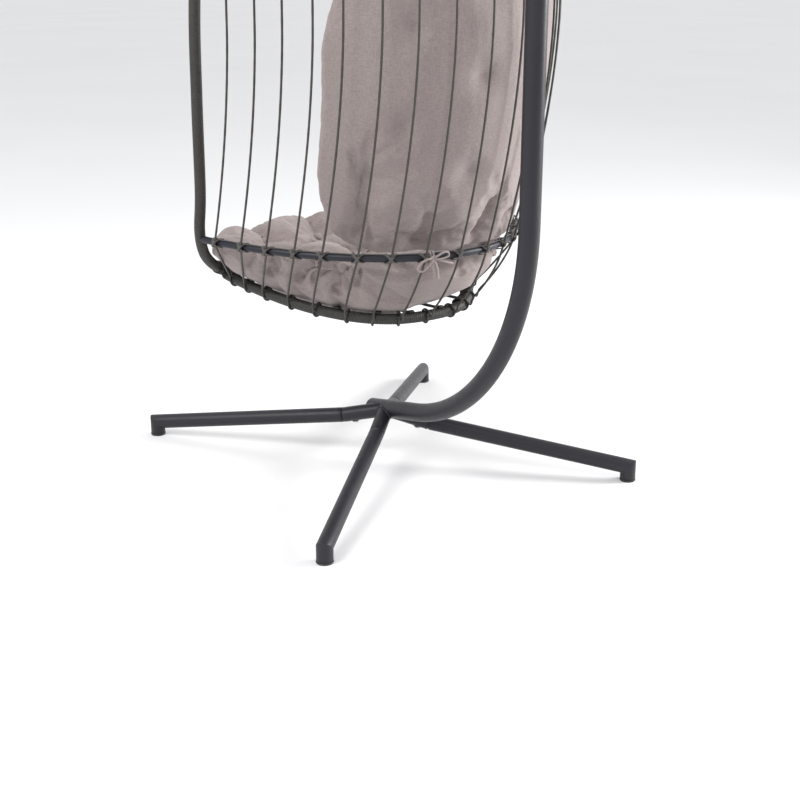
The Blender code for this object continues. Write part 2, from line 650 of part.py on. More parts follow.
# ---------------------------------------------------------------- strands, lashing, straps
def strand_line(index):
    s = -1 if index < 0 else 1
    k = abs(index)
    deg = KNOT_DEG[k]
    n = ring_normal(deg)
    knot = ring_point(deg)
    wide = Vector((WIDE_A * math.sin(math.radians(deg)), WIDE_YC + WIDE_B * math.cos(math.radians(deg)), WIDE_Z))
    c = crown_centre()
    spread = math.radians(12.0 * k)
    out = Vector((math.sin(spread), math.cos(spread), 0.0))
    crown = c + out * (CROWN_R + CROWN_BAR + GAP + 0.0004)
    end, end_n = base_near(BASE_END[k][0], BASE_END[k][1])
    if end_n.dot(Vector((end.x, end.y + 0.3, 0.0))) < 0:
        end_n = -end_n
    hook = HOOK_OUT[k]
    low = end + end_n * hook + Vector((0, 0, HOOK_UP[k]))
    # wrap point on the mid ring
    hold = RING_R + STRAND_R + GAP + 0.0002
    rise = wide - knot
    up_slope = math.atan2(1.8 * rise.dot(n), WIDE_Z - RING_Z)
    drop = low - knot
    low_slope = math.atan2(-drop.dot(n), -drop.z)
    pts = []
    # upper half, from the crown down to the widest section
    for i in range(6):
        a = math.radians(90.0 - 90.0 * i / 6)
        h = math.cos(a) ** 0.92
        v = math.sin(a) ** 0.92
        flat = Vector((crown.x, crown.y, 0)).lerp(Vector((wide.x, wide.y, 0)), h)
        pts.append(Vector((flat.x, flat.y, WIDE_Z + (crown.z - WIDE_Z) * v)))
    top_knot = knot + n * (hold * math.cos(up_slope)) - Vector((0, 0, hold * math.sin(up_slope)))
    for i in range(4):
        q = 1.0 - i / 4.0
        f = 1.0 - (1.0 - q) ** 1.8
        z = top_knot.z + (WIDE_Z - top_knot.z) * q
        pts.append(Vector((top_knot.x + (wide.x - top_knot.x) * f, top_knot.y + (wide.y - top_knot.y) * f, z)))
    for f in (0.0, 0.5, 1.0):
        a = up_slope + (low_slope - up_slope) * f
        pts.append(knot + n * (hold * math.cos(a)) - Vector((0, 0, hold * math.sin(a))))
    middle = (pts[-1] + low) * 0.5 + (n + end_n) * 0.0012
    pts.append(middle)
    pts.append(low)
    if k > 4:
        pts.append(end + end_n * 0.0143)
        pts.append(end + end_n * 0.0142 + Vector((0, 0, -0.008)))
    else:
        bite = BASE_R + 0.0007
        pts.append(end + end_n * (bite + (hook - bite) * 0.68) + Vector((0, 0, 0.001)))
        pts.append(end + end_n * (bite + (hook - bite) * 0.32) + Vector((0, 0, -0.0035)))
        pts.append(end + end_n * bite + Vector((0, 0, -0.0030)))
    if s < 0:
        pts = [Vector((-p.x, p.y, p.z)) for p in pts]
    return pts


def build_strands():
    number = 0
    for index in range(-8, 9):
        number += 1
        tube("strand_%02d" % number, strand_line(index), STRAND_R, 6, WICKER)


def build_lashing():
    """One cord along the mid ring that crosses over every strand."""
    near = RING_R + LASH_R + 0.0011
    pts = []
    for index in range(-8, 9):
        s = -1 if index < 0 else 1
        deg = KNOT_DEG[abs(index)] * s
        n = ring_normal(deg)
        t = Vector((n.y, -n.x, 0.0))
        knot = ring_point(deg)
        over = RING_R + 2 * STRAND_R + 2 * GAP + LASH_R + 0.0030

        def at(angle, radius, along):
            a = math.radians(angle)
            return knot + n * (radius * math.cos(a)) + Vector((0, 0, radius * math.sin(a))) + t * along
        wide = RING_R * 1.15
        turn = [(90, near, -wide * 1.6), (48, near * 1.48, -wide * 1.1), (8, over, -0.0030), (-30, over * 1.04, 0.0034),
                (-72, near * 1.42, wide * 1.1), (-125, near * 1.10, wide * 0.9), (-180, near * 1.06, wide * 0.5),
                (-232, near * 1.06, 0.0), (-270, near * 1.06, wide * 0.9), (-300, near * 1.06, wide * 1.3)]
        if index > 1:
            turn = [(angle, radius, -along) for angle, radius, along in reversed(turn)]
        pts += [at(*step) for step in turn]
    path = []
    last = len(pts) - 1
    for i, p in enumerate(pts):
        path.append(p)
        if i < last and (i + 1) % 10 == 0:
            a = pts[i]
            b = pts[i + 1]
            path.append(a.lerp(b, 0.5) + Vector((0, 0, 0.0009)))
    tube("ring_lashing", path, LASH_R, 5, TWINE)


def hoop_at_x(x):
    """Centre of the hoop's lower run at a given x."""
    line = smooth_path(HOOP[:4], 6)
    for a, b in zip(line, line[1:]):
        if a.x <= x <= b.x:
            return a.lerp(b, (x - a.x) / (b.x - a.x))
    return line[0]


def build_straps():
    number = 0
    for s in (-1, 1):
        for x, sag in zip(STRAP_X, STRAP_SAG):
            number += 1
            yb = BASE_YC + BASE_B * (1 - (x / BASE_A) ** BASE_N) ** (1 / BASE_N)
            nb = base_normal(x, yb)
            back = Vector((x, yb, base_z(yb)))
            front = hoop_at_x(x)
            start = back + Vector((-nb.x * 0.0086, -nb.y * 0.0086, -0.0078)) * (1 + STRAP_R / 0.0116 + 0.06)
            stop = front + Vector((0, 0.0086, -0.0078)) * (1 + STRAP_R / 0.0116 + 0.06)
            pts = []
            for i in range(9):
                f = i / 8.0
                p = start.lerp(stop, f)
                p.z -= sag * 4 * f * (1 - f)
                pts.append(Vector((p.x * s, p.y, p.z)))
            tube("seat_strap_%d" % number, pts, STRAP_R, 8, WICKER)


# ---------------------------------------------------------------- soft parts
def bowl_outline(h, inset):
    """Outline of the strand bowl at height h, pulled in by inset; low levels lean with the bottom ring."""
    middle = Vector((0.0, -0.080, 0.0))
    lean = max(0.0, min(1.0, (0.470 - h) / 0.070))
    half = []
    for k in (0, 2, 3, 4, 5, 6, 7, 8):
        knot = ring_point(KNOT_DEG[k])
        end = base_near(BASE_END[k][0], BASE_END[k][1])[0]
        z = h - 0.1 * end.y * lean
        p = end.lerp(knot, max(0.0, (z - end.z) / (knot.z - end.z)))
        p.z = 0.0
        to = middle - p
        p += to.normalized() * min(inset, to.length * 0.9)
        half.append(p)
    side = half[-1].x
    front = front_fill(h)
    for share, back, drop in ((0.92, 0.200, 0.022), (0.72, 0.200, 0.085), (0.40, 0.200, 0.132), (0.0, 0.200, 0.150)):
        half.append(Vector((share * side, -back - drop * front, 0.0)))
    loop = half + [Vector((-p.x, p.y, 0.0)) for p in reversed(half[1:-1])]
    out = smooth_loop(loop, 2)
    fall = max(0.0, min(1.0, (h - 0.450) / 0.050))          # the top slopes down towards the front
    return [Vector((p.x, p.y, h - 0.1 * p.y * lean + 0.11 * fall * min(0.0, p.y + 0.10))) for p in out]


def front_fill(h):
    """How far the cushion reaches over the front of the hoop at a level, 0 to 1."""
    return max(0.0, min(1.05, 1.05 - ((0.470 - h) / 0.135) ** 2 * 1.05 if h < 0.470 else 1.05 - ((h - 0.470) / 0.050) ** 2 * 0.5))


def build_seat_cushion():
    """Puffy cushion filling the bowl: stacked outlines, each (height, inset from the strands)."""
    levels = [(0.3350, 0.150), (0.3470, 0.092), (0.3600, 0.056), (0.3740, 0.031), (0.3880, 0.0155), (0.4020, 0.0050),
              (0.4300, -0.0010), (0.4660, 0.0020), (0.4830, 0.0150), (0.4990, 0.0175), (0.5070, 0.0360), (0.5110, 0.0900)]
    rows = [bowl_outline(h, inset) for h, inset in levels]
    steps = len(rows[0])
    verts = [Vector((0.0, -0.080, 0.3320))]
    for row in rows:
        verts += row
    verts.append(Vector((0.0, -0.080, 0.5120)))
    faces = []
    for k in range(steps):
        k2 = (k + 1) % steps
        faces.append((0, 1 + k2, 1 + k))
        for j in range(len(levels) - 1):
            a = 1 + j * steps
            faces.append((a + k, a + k2, a + steps + k2, a + steps + k))
        top = 1 + (len(levels) - 1) * steps
        faces.append((top + k, top + k2, len(verts) - 1))
    mesh_object("seat_cushion", verts, faces, CLOTH, pivot=(0, -0.080, 0.42))


def shell_back_y(z):
    """Inner face of the strand shell on the centre line."""
    q = max(0.0, min(1.0, (z - RING_Z) / (WIDE_Z - RING_Z)))
    y = (RING_YC + RING_B) + (WIDE_YC + WIDE_B - RING_YC - RING_B) * (1 - (1 - q) ** 1.8)
    if z > WIDE_Z:
        y -= 0.9 * (z - WIDE_Z) ** 2
    return y


def build_back_cushion():
    low = 0.5145
    high = 1.130
    half_h = (high - low) / 2
    mid_z = (high + low) / 2
    steps = 28
    rings = [0.30, 0.58, 0.80, 0.94, 1.0]
    power = 2.5

    def point(rho, ang, side):
        cx = math.cos(ang)
        sy = math.sin(ang)
        bend = power if sy > 0 else 4.2          # the lower edge is squarer than the top
        x = rho * math.copysign(abs(cx) ** (2 / bend), cx)
        v = rho * math.copysign(abs(sy) ** (2 / bend), sy)
        z = mid_z + half_h * v
        x *= 0.238 * (1.0 + 0.04 * v)
        puff = (1 - rho ** 2.4) ** 0.6 if rho < 1 else 0.0
        y = shell_back_y(z) - 0.078 - 1.9 * x * x + side * puff * (0.058 if side > 0 else 0.072)
        return (x, y, z)
    verts = [point(0.0, 0.0, 1), point(0.0, 0.0, -1)]
    rows = {}
    for side in (1, -1):
        for j, rho in enumerate(rings):
            if rho == 1.0 and side == -1:
                rows[(side, j)] = rows[(1, j)]
                continue
            rows[(side, j)] = []
            for k in range(steps):
                verts.append(point(rho, 2 * math.pi * (k + 0.5) / steps, side))
                rows[(side, j)].append(len(verts) - 1)
    faces = []
    for side in (1, -1):
        hub = 0 if side == 1 else 1
        for k in range(steps):
            k2 = (k + 1) % steps
            faces.append((hub, rows[(side, 0)][k], rows[(side, 0)][k2]))
            for j in range(len(rings) - 1):
                a = rows[(side, j)]
                b = rows[(side, j + 1)]
                faces.append((a[k], b[k], b[k2], a[k2]))
    mesh_object("back_cushion", verts, faces, CLOTH, pivot=(0, 0.2, mid_z))


def build_tie():
    """Cushion tie: one cord round the mid ring with two hanging tails."""
    x = 0.040
    deg = math.degrees(math.asin(x / RING_A))
    c = ring_point(deg)
    n = ring_normal(deg)
    t = Vector((n.y, -n.x, 0.0))
    r = 0.0016
    near = RING_R + 2 * LASH_R + 0.0030 + r

    def at(angle, radius, along):
        a = math.radians(angle)
        return c + n * (radius * math.cos(a)) + Vector((0, 0, radius * math.sin(a))) + t * along
    pts = [c + n * 0.0185 + t * -0.024 + Vector((0, 0, -0.034)), c + n * 0.0165 + t * -0.012 + Vector((0, 0, -0.014)),
           at(0, near * 1.15, -0.0035), at(50, near, -0.0026), at(100, near, -0.0022), at(150, near, -0.0018),
           at(200, near, -0.0006), at(250, near, 0.0006), at(300, near, 0.0018), at(345, near * 1.05, 0.0030),
           c + n * 0.0165 + t * 0.012 + Vector((0, 0, -0.012)), c + n * 0.0185 + t * 0.022 + Vector((0, 0, -0.031))]
    tube("cushion_tie", pts, r, 6, CLOTH)


# ---------------------------------------------------------------- build everything
for leg_tag, leg_sx, leg_sy in LEGS:
    build_leg(leg_tag, leg_sx, leg_sy)
post_top = build_posts()
eye_bar_z = build_hanger(post_top)
snap_bar_z = build_snap_hook(eye_bar_z)
build_swivel(snap_bar_z)
build_hoop()
build_crown()
build_mid_ring()
build_base_ring()
build_strands()
build_lashing()
build_straps()
build_seat_cushion()
build_back_cushion()
build_tie()
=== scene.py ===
"""Looks of the hanging egg chair: coated stand, wrapped hoop, strands, lashing and simulated cushions.

Metres, measured from the ground under the hub of the stand; SHIFT_Y moves everything into the shared frame.
"""
import bpy
from math import asin, atan2, copysign, cos, degrees, exp, hypot, pi, radians, sin, sqrt
import numpy as np
from mathutils import Vector, Matrix, noise
from mathutils.bvhtree import BVHTree


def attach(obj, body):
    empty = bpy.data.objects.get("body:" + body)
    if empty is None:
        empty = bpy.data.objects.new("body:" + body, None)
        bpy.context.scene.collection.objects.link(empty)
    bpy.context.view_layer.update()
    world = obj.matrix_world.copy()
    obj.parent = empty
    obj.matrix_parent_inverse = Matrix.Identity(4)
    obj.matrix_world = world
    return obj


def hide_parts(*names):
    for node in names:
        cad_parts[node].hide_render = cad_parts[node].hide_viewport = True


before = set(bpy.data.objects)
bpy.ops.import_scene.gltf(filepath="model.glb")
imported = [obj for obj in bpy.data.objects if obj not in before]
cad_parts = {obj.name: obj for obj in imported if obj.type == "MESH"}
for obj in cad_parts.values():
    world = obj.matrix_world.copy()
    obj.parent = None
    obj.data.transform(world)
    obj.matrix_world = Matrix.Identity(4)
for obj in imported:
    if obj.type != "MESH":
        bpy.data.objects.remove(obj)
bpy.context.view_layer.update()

SHIFT_Y = -.0547
SHIFT = np.array((0, SHIFT_Y, 0))
TAU = 2 * pi
X, Y, Z = np.eye(3)
MIRROR = np.array((-1, 1, 1))

# ---------------------------------------------------------------- the chair's dimensions
FOOT_X, FOOT_Y, LEG_R, LEG_SIDES = .36, .389, .016, 44
HUB_Y, STUB_LEN, STUB_Z0, STUB_Z1, FOOT_TOP_Z = .017, .095, .114, .0915, .0305
LEG_SCREW_AT, FOOT_LOW_Z = .072, .0045
POST_R, POST_SIDES, TAIL_Y, TAIL_Z = .019, 56, -.036, .1033
LOW_BEND_R, LOW_BEND_Y, LOW_BEND_Z, LOW_BEND_START = .456, .036, .587, 12.6
BEND_R, BEND_Y, JOINT_Z, TOP_BEND_Z, TIP_Y = .47, .022, 1.0, 1.45, -.062
POST_BACK, POST_TOP = LOW_BEND_Y + LOW_BEND_R, TOP_BEND_Z + BEND_R
SEAM, CAP_OUT, SCREW_PROUD = .0012, .0053, .0006
EYE_BAR, EYE_MAJOR, LINK_GAP = .005, .018, .0007
HOOK_BAR, HOOK_HALF, HOOK_TALL = .004, .012, .056
SWIVEL_BAR, SWIVEL_MAJOR, HOUSING = .0035, .0145, .034
HOOP_R = .011
HOOP = [(0, -.35, .372), (.12, -.325, .377), (.21, -.262, .39), (.27, -.212, .412), (.313, -.166, .442),
        (.34, -.132, .475), (.353, -.112, .52), (.358, -.088, .6), (.37, -.055, .78), (.375, -.032, .95),
        (.362, -.016, 1.15), (.32, -.006, 1.33), (.24, -.002, 1.48), (.125, 0, 1.585), (0, 0, 1.62)]
RING_R, RING_Z, RING_A, RING_B, RING_YC, RING_END = .00725, .5, .377, .6, -.328, 67.6
KNOT_DEG = [0.0, 10.3, 19.4, 27.7, 36.3, 43.0, 49.9, 56.4, 63.5]      # strands' places round the seat ring
BASE_R, BASE_A, BASE_B, BASE_YC, BASE_N = .011, .262, .6, -.43, 2.43
BASE_SPAN, BASE_TIP = 73.0, (.256, -.2045, .3975)
BASE_END = [(0, .171), (.058, .162), (.105, .144), (.153, .119), (.188, .059), (.211, -.002), (.221, -.072),
            (.234, -.129), (.248, -.178)]                            # and where they reach the bottom ring
HOOK_OUT = [.026, .026, .026, .024, .02, .015, .0146, .0146, .0146]
HOOK_UP = [.017, .017, .017, .016, .014, .012, .01, .01, .01]
BOW = [.0085, .0085, .0085, .007, .0035, .0012, .0012, .0012, .0012]
STRAND_R, WIDE_Z, WIDE_A, WIDE_B, WIDE_YC = .00215, .95, .395, .575, -.2
SHELL_POWER = 1.8                                                    # how the basket widens above the ring
CROWN_R, CROWN_BAR, CROWN_Z = .04, .004, 1.612
STRAP_X, STRAP_SAG, STRAP_HALF, STRAP_FLAT = [.035, .098, .159], [.03, .026, .02], .0066, .3
WRAP_PITCH, BASE_PITCH, WRAP_TURN_POINTS = .0036, .0044, 5
TWINE_R, RUN_R = .00095, .0011
TIE_X, TIE_WIDE, TIE_THICK = .055, .0054, .0036
MIDDLE = np.array((0, -.08, 0))                                    # axis that the seat pad is built round
CREST_Z = .496


# ---------------------------------------------------------------- materials
def srgb(*rgb):
    c = np.array(rgb) / 255
    return (*np.where(c <= .04045, c / 12.92, ((c + .055) / 1.055) ** 2.4), 1)


class Mat:
    """A Principled material and short ways to add nodes to it."""

    def __init__(self, name, rough, metallic=0.0, **sockets):
        self.m = bpy.data.materials.new(name)
        self.m.use_nodes = True
        self.t = self.m.node_tree
        self.b = self.t.nodes["Principled BSDF"]
        for key, value in {"Roughness": rough, "Metallic": metallic, **sockets}.items():
            self.b.inputs[key.replace("_", " ")].default_value = value
        self.co = self.t.nodes.new("ShaderNodeTexCoord").outputs["Object"]

    def put(self, socket, value):
        if isinstance(value, (int, float, tuple)):
            socket.default_value = value
        else:
            self.t.links.new(value, socket)

    def node(self, kind, out=0, **values):
        """A new node with its sockets filled, by name or by number (i6 is input 6)."""
        n = self.t.nodes.new("ShaderNode" + kind)
        for key, value in values.items():
            self.put(n.inputs[int(key[1:]) if key[1:].isdigit() else key.replace("_", " ")], value)
        return n.outputs[out]

    def noise(self, scale, detail=3, rough=.55, stretch=None):
        co = self.node("Mapping", Scale=stretch, i0=self.co) if stretch else self.co
        return self.node("TexNoise", "Fac", Scale=scale, Detail=detail, Roughness=rough, Vector=co)

    def ramp(self, fac, *stops):
        """Stops are (place, colour); a colour is 0 to 255 sRGB, or linear with four values."""
        r = self.t.nodes.new("ShaderNodeValToRGB")
        while len(r.color_ramp.elements) < len(stops):
            r.color_ramp.elements.new(.5)
        for e, (place, c) in zip(r.color_ramp.elements, stops):
            e.position = place
            e.color = c if len(c) == 4 else srgb(*c)
        self.put(r.inputs[0], fac)
        return r.outputs[0]

    def span(self, fac, lo, hi, a=.3, b=.7):
        return self.node("MapRange", From_Min=a, From_Max=b, To_Min=lo, To_Max=hi, i0=fac)

    def add(self, a, b):
        return self.node("Math", i0=a, i1=b)

    def mix(self, fac, a, b):
        n = self.t.nodes.new("ShaderNodeMix")
        n.data_type = "RGBA"
        for i, value in ((0, fac), (6, a), (7, b)):
            self.put(n.inputs[i], value)
        return n.outputs[2]

    def colour(self, out):
        self.put(self.b.inputs["Base Color"], out)

    def rough(self, lo, hi, *grain):
        self.put(self.b.inputs["Roughness"], self.span(self.noise(*grain), lo, hi))

    def bump(self, height, distance, strength):
        self.put(self.b.inputs["Normal"], self.node("Bump", Distance=distance, Strength=strength, Height=height))


def powder(name, dark, light, rough_lo, rough_hi):
    """Powder-coated steel: orange-peel grain, faint mottling, satin film."""
    m = Mat(name, .4, Coat_Weight=.05, Coat_Roughness=.34, Specular_IOR_Level=.28)
    blotch, speck = m.noise(9, 4, .6), m.noise(1500, 2, .5)
    m.colour(m.mix(m.span(speck, 0.0, 1.0, .35, .75), m.ramp(blotch, (.35, dark), (.68, light)),
                   m.ramp(blotch, (.3, light), (.7, dark))))
    m.rough(rough_lo, rough_hi, 60, 5, .65)
    m.bump(m.noise(620, 2, .45), .00022, .55)
    return m.m


def wrapped(name, dark, mid, light, rough):
    """Resin wicker: long fine streaks, darker where the turns meet, a dull polymer sheen."""
    m = Mat(name, rough, Specular_IOR_Level=.42)
    streak, patch = m.noise(320, 4, .7), m.noise(26, 3, .6)
    m.colour(m.mix(m.span(patch, 0.0, .55), m.ramp(streak, (.28, dark), (.5, mid), (.74, light)),
                   m.ramp(streak, (.3, mid), (.8, dark))))
    m.rough(rough - .1, rough + .12, 180, 4, .7)
    m.bump(m.noise(900, 3, .6), .00018, .6)
    return m.m


def make_twine():
    m = Mat("twine", .8, Sheen_Weight=.15, Specular_IOR_Level=.3)
    m.colour(m.ramp(m.noise(700, 5, .75), (.25, (58, 55, 53)), (.5, (84, 80, 77)), (.8, (112, 107, 103))))
    m.bump(m.noise(1400, 4, .7), .0003, .9)
    return m.m


def make_plastic():
    m = Mat("black_plastic", .5, Specular_IOR_Level=.45)
    m.colour(m.ramp(m.noise(40, 4, .6), (.3, (38, 38, 41)), (.7, (52, 52, 56))))
    m.rough(.42, .6, 90, 4, .7)
    m.bump(m.noise(1100, 2, .5), .0002, .6)
    return m.m


def make_steel():
    m = Mat("zinc_steel", .32, 1.0)
    m.colour(m.ramp(m.noise(70, 5, .7), (.3, (150, 150, 152)), (.55, (186, 187, 190)), (.8, (206, 205, 200))))
    m.rough(.24, .44, 240, 5, .75)
    m.bump(m.noise(500, 4, .7, (1, 1, .15)), .00012, .5)
    return m.m


def make_cloth(name, painted_shade_scale=1.0):
    """Plain-woven polyester: two crossed yarn directions, slubs, soft fuzz at grazing angles; a scale below 1 paints
    shade on a darker copy of it.
    """
    m = Mat(name, .94, Specular_IOR_Level=.18, Sheen_Weight=.22, Sheen_Roughness=.6,
            Sheen_Tint=(.86, .82, .8, 1))
    slub_a = m.noise(520, 3, .6, (1.0, 1.0, .22))
    slub_b = m.noise(520, 3, .6, (.22, .22, 1.0))
    cloud = m.noise(7.5, 4, .55)
    weave = m.add(slub_a, slub_b)
    # the scale multiplies every colour of the cloth evenly: below 1 it is painted shade
    yarn = lambda *stops: m.ramp(cloud, *((at, np.array(c) * painted_shade_scale) for at, c in stops))
    base = yarn((.3, (141, 130, 128)), (.7, (146, 135, 132)))
    dark = yarn((.3, (125, 114, 112)), (.7, (130, 119, 117)))
    m.colour(m.mix(m.span(weave, 0.0, 1.0, .75, 1.25), dark, base))
    m.rough(.86, .98, 220, 3)
    m.bump(weave, .0006, .5)
    return m.m


POWDER = powder("powder_coat", (35, 34, 39), (42, 41, 46), .36, .48)
RING = powder("ring_paint", (28, 29, 36), (36, 37, 45), .36, .48)
WICKER = wrapped("wicker_wrap", (30, 28, 27), (48, 45, 42), (72, 68, 63), .52)
BASEWRAP = wrapped("base_wrap", (28, 28, 26), (46, 45, 43), (72, 71, 67), .54)
STRAND = wrapped("strand_wrap", (40, 37, 34), (57, 54, 50), (82, 78, 72), .5)
STRAP = wrapped("strap_wrap", (20, 20, 19), (31, 30, 29), (48, 46, 44), .58)
TWINE, PLASTIC, STEEL = make_twine(), make_plastic(), make_steel()
# the back pad gets the seat pad's cloth painted 1.5 % darker: painted shade, not a different fabric
CLOTH, BACK_CLOTH_SHADED = make_cloth("cushion_cloth"), make_cloth("back_cloth_painted_shade", .985)


# ---------------------------------------------------------------- mesh helpers
def make(name, mesh, mat, body, stands_for=None, smooth=True):
    """A piece on a body and the CAD node that it stands for."""
    verts, faces = mesh
    verts = np.asarray(verts, float).reshape(-1, 3) + SHIFT
    mesh = bpy.data.meshes.new(name)
    mesh.from_pydata(verts.tolist(), [], [tuple(int(i) for i in f) for f in faces])
    mesh.materials.append(mat)
    mesh.update()
    if smooth:
        mesh.shade_smooth()
    obj = bpy.data.objects.new(name, mesh)
    bpy.context.scene.collection.objects.link(obj)
    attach(obj, body)
    if stands_for:
        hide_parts(stands_for)
    return obj


def join(parts):
    """One vertex list and face list from several."""
    verts, faces, n = [], [], 0
    for v, f in parts:
        verts.append(np.asarray(v, float))
        faces += [tuple(i + n for i in q) for q in f]
        n += len(v)
    return np.concatenate(verts), faces


def catmull(points, per, closed=False):
    P = np.asarray(points, float)
    n = len(P)
    out = []
    for i in range(n if closed else n - 1):
        if closed:
            p0, p1, p2, p3 = P[(i - 1) % n], P[i], P[(i + 1) % n], P[(i + 2) % n]
        else:
            p1, p2 = P[i], P[i + 1]
            p0 = P[i - 1] if i else 2 * p1 - p2
            p3 = P[i + 2] if i + 2 < n else 2 * p2 - p1
        for k in range(per):
            s = k / per
            out.append(.5 * (2 * p1 + (p2 - p0) * s + (2 * p0 - 5 * p1 + 4 * p2 - p3) * s * s
                             + (3 * p1 - p0 - 3 * p2 + p3) * s ** 3))
    if not closed:
        out.append(P[-1])
    return np.array(out)


def lengths(P, closed=False):
    d = np.linalg.norm(np.diff(np.concatenate([P, P[:1]]) if closed else P, axis=0), axis=1)
    return np.concatenate([[0], np.cumsum(d)])


def even(P, step, closed=False, count=None):
    """Equal steps along a polyline."""
    P = np.asarray(P, float)
    Q = np.concatenate([P, P[:1]]) if closed else P
    s = lengths(P, closed)
    n = count or max(2, int(round(s[-1] / step)))
    w = np.linspace(0, s[-1], n + 1)
    if closed:
        w = w[:-1]
    return np.stack([np.interp(w, s, Q[:, i]) for i in range(3)], 1)


def frames(P, closed):
    """Tangents and two section axes with the least twist."""
    if closed:
        T = np.roll(P, -1, 0) - np.roll(P, 1, 0)
    else:
        T = np.gradient(P, axis=0)
    T /= np.linalg.norm(T, axis=1)[:, None]
    a = np.cross(T[0], (0, 0, 1.0))
    if np.linalg.norm(a) < .2:
        a = np.cross(T[0], (1.0, 0, 0))
    U = [a / np.linalg.norm(a)]
    for i in range(1, len(P)):
        u = U[-1] - T[i] * np.dot(U[-1], T[i])
        U.append(u / np.linalg.norm(u))
    U = np.array(U)
    W = np.cross(T, U)
    if closed:
        u = U[-1] - T[0] * np.dot(U[-1], T[0])
        u /= np.linalg.norm(u)
        turn = atan2(np.dot(u, W[0]), np.dot(u, U[0]))
        a = (-turn * np.arange(len(P)) / len(P))[:, None]
        U, W = U * np.cos(a) + W * np.sin(a), W * np.cos(a) - U * np.sin(a)
    return T, U, W


def tube_faces(rows, sides, closed=False):
    """Quads between the rows of a tube, and a lid on each open end."""
    i = np.arange(rows if closed else rows - 1)[:, None]
    k = np.arange(sides)[None, :]
    j, k2 = (i + 1) % rows, (k + 1) % sides
    F = np.stack([i * sides + k, i * sides + k2, j * sides + k2, j * sides + k], -1).reshape(-1, 4).tolist()
    if not closed:
        F += [list(range(sides - 1, -1, -1)), list(range((rows - 1) * sides, rows * sides))]
    return F


ROUNDING = ((1.0, 1.0), (.35, .75), (.05, .3))     # a rounded end's rows: share of radius lost, of reach


def sweep(path, radius, sides=16, closed=False, flat=1.0, round_end=0.0, axes=None):
    """Tube along a path. radius is a number, one value a point, or a function of (length, angle)."""
    P = np.asarray(path, float)
    T, U, W = axes if axes else frames(P, closed)
    th = np.arange(sides) * TAU / sides
    R = radius(lengths(P)[:len(P), None], th[None, :]) if callable(radius) else np.reshape(radius, (-1, 1))
    R = np.broadcast_to(R, (len(P), sides))
    if round_end and not closed:
        head, tail = ([(P[at] + T[at] * reach * round_end * out, R[at] - round_end * loss, U[at], W[at])
                       for loss, out in rows] for at, reach, rows in ((0, -1, ROUNDING), (-1, 1, ROUNDING[::-1])))
        P, R, U, W = (np.concatenate([[e[i] for e in head], a, [e[i] for e in tail]])
                      for i, a in enumerate((P, R, U, W)))
    V = (P[:, None, :] + U[:, None, :] * (np.cos(th)[None, :, None] * R[..., None])
         + W[:, None, :] * (np.sin(th)[None, :, None] * flat * R[..., None]))
    return V.reshape(-1, 3), tube_faces(len(P), sides, closed)


def lathe(profile, base, axis, steps=40, sides_fn=None):
    """Turned shape; profile is (radius, distance along axis)."""
    axis = np.asarray(axis, float)
    axis /= np.linalg.norm(axis)
    base = np.asarray(base, float)
    u = np.cross(axis, (0, 0, 1.0))
    u = np.array((1.0, 0, 0)) if np.linalg.norm(u) < .2 else u / np.linalg.norm(u)
    w = np.cross(axis, u)
    V, rows = [], []
    for r, h in profile:
        if r < 1e-7:
            rows.append([len(V)])
            V.append(base + axis * h)
            continue
        rows.append(list(range(len(V), len(V) + steps)))
        for k in range(steps):
            a = TAU * k / steps
            q = r * (sides_fn(a) if sides_fn else 1.0)
            V.append(base + axis * h + (u * cos(a) + w * sin(a)) * q)
    F = []
    for a, b in zip(rows, rows[1:]):
        for k in range(steps):
            k2 = (k + 1) % steps
            if len(a) == 1 and len(b) > 1:
                F.append((a[0], b[k2], b[k]))
            elif len(b) == 1 and len(a) > 1:
                F.append((a[k], a[k2], b[0]))
            elif len(a) > 1:
                F.append((a[k], a[k2], b[k2], b[k]))
    return np.array(V), F


def softened(profile, r=.0006):
    """Profile with its corners rounded a little."""
    P = [np.array(p, float) for p in profile]
    out = [P[0]]
    for a, b, c in zip(P, P[1:], P[2:]):
        da, dc = np.linalg.norm(a - b), np.linalg.norm(c - b)
        k = min(r, da * .4, dc * .4)
        p, q = b + (a - b) / da * k, b + (c - b) / dc * k
        out += [p, (p + q) * .25 + b * .5, q]
    return [tuple(p) for p in out + [P[-1]]]


def arc(centre, u, w, radius, start, stop, count):
    a = np.radians(np.linspace(start, stop, count + 1))[:, None]
    return np.asarray(centre, float) + (np.asarray(u, float) * np.cos(a) + np.asarray(w, float) * np.sin(a)) * radius


def circle(centre, u, w, radius, count):
    return arc(centre, u, w, radius, 0, 360, count)[:-1]


def unit(v):
    v = np.asarray(v, float)
    return v / np.linalg.norm(v)


def around(n, radius, angle):
    """Offset on an upright circle that starts at direction n and turns upwards."""
    return n * (radius * cos(angle)) + Z * (radius * sin(angle))


def thread(radius, z0, z1, pitch=.0014):
    turns = lambda s, th: np.abs(((s / pitch + th / TAU) % 1) * 2 - 1)
    return sweep([(0, 0, z) for z in np.arange(z0, z1, .0003)], lambda s, th: radius - .0005 * turns(s, th), 24)


def hexnut(z0, z1, r, bore):
    flat = pi / 6
    corner = lambda a: cos(flat) / cos((a + flat) % (2 * flat) - flat)
    half = [(bore, .0003), (r * .8, 0), (r * .93, 0), (r, .0009)]
    profile = [(q, z0 + h) for q, h in half] + [(q, z1 - h) for q, h in reversed(half)]
    return lathe(profile, (0, 0, 0), Z, 48, corner)


# ---------------------------------------------------------------- stand
LEGS = [("front_left", 1, -1), ("front_right", -1, -1), ("rear_left", 1, 1), ("rear_right", -1, 1)]


def stub_point(sx, sy, r):
    run = unit((sx * FOOT_X, sy * FOOT_Y - HUB_Y))
    return np.array((run[0] * r, HUB_Y + run[1] * r, STUB_Z0 + (STUB_Z1 - STUB_Z0) * r / STUB_LEN))


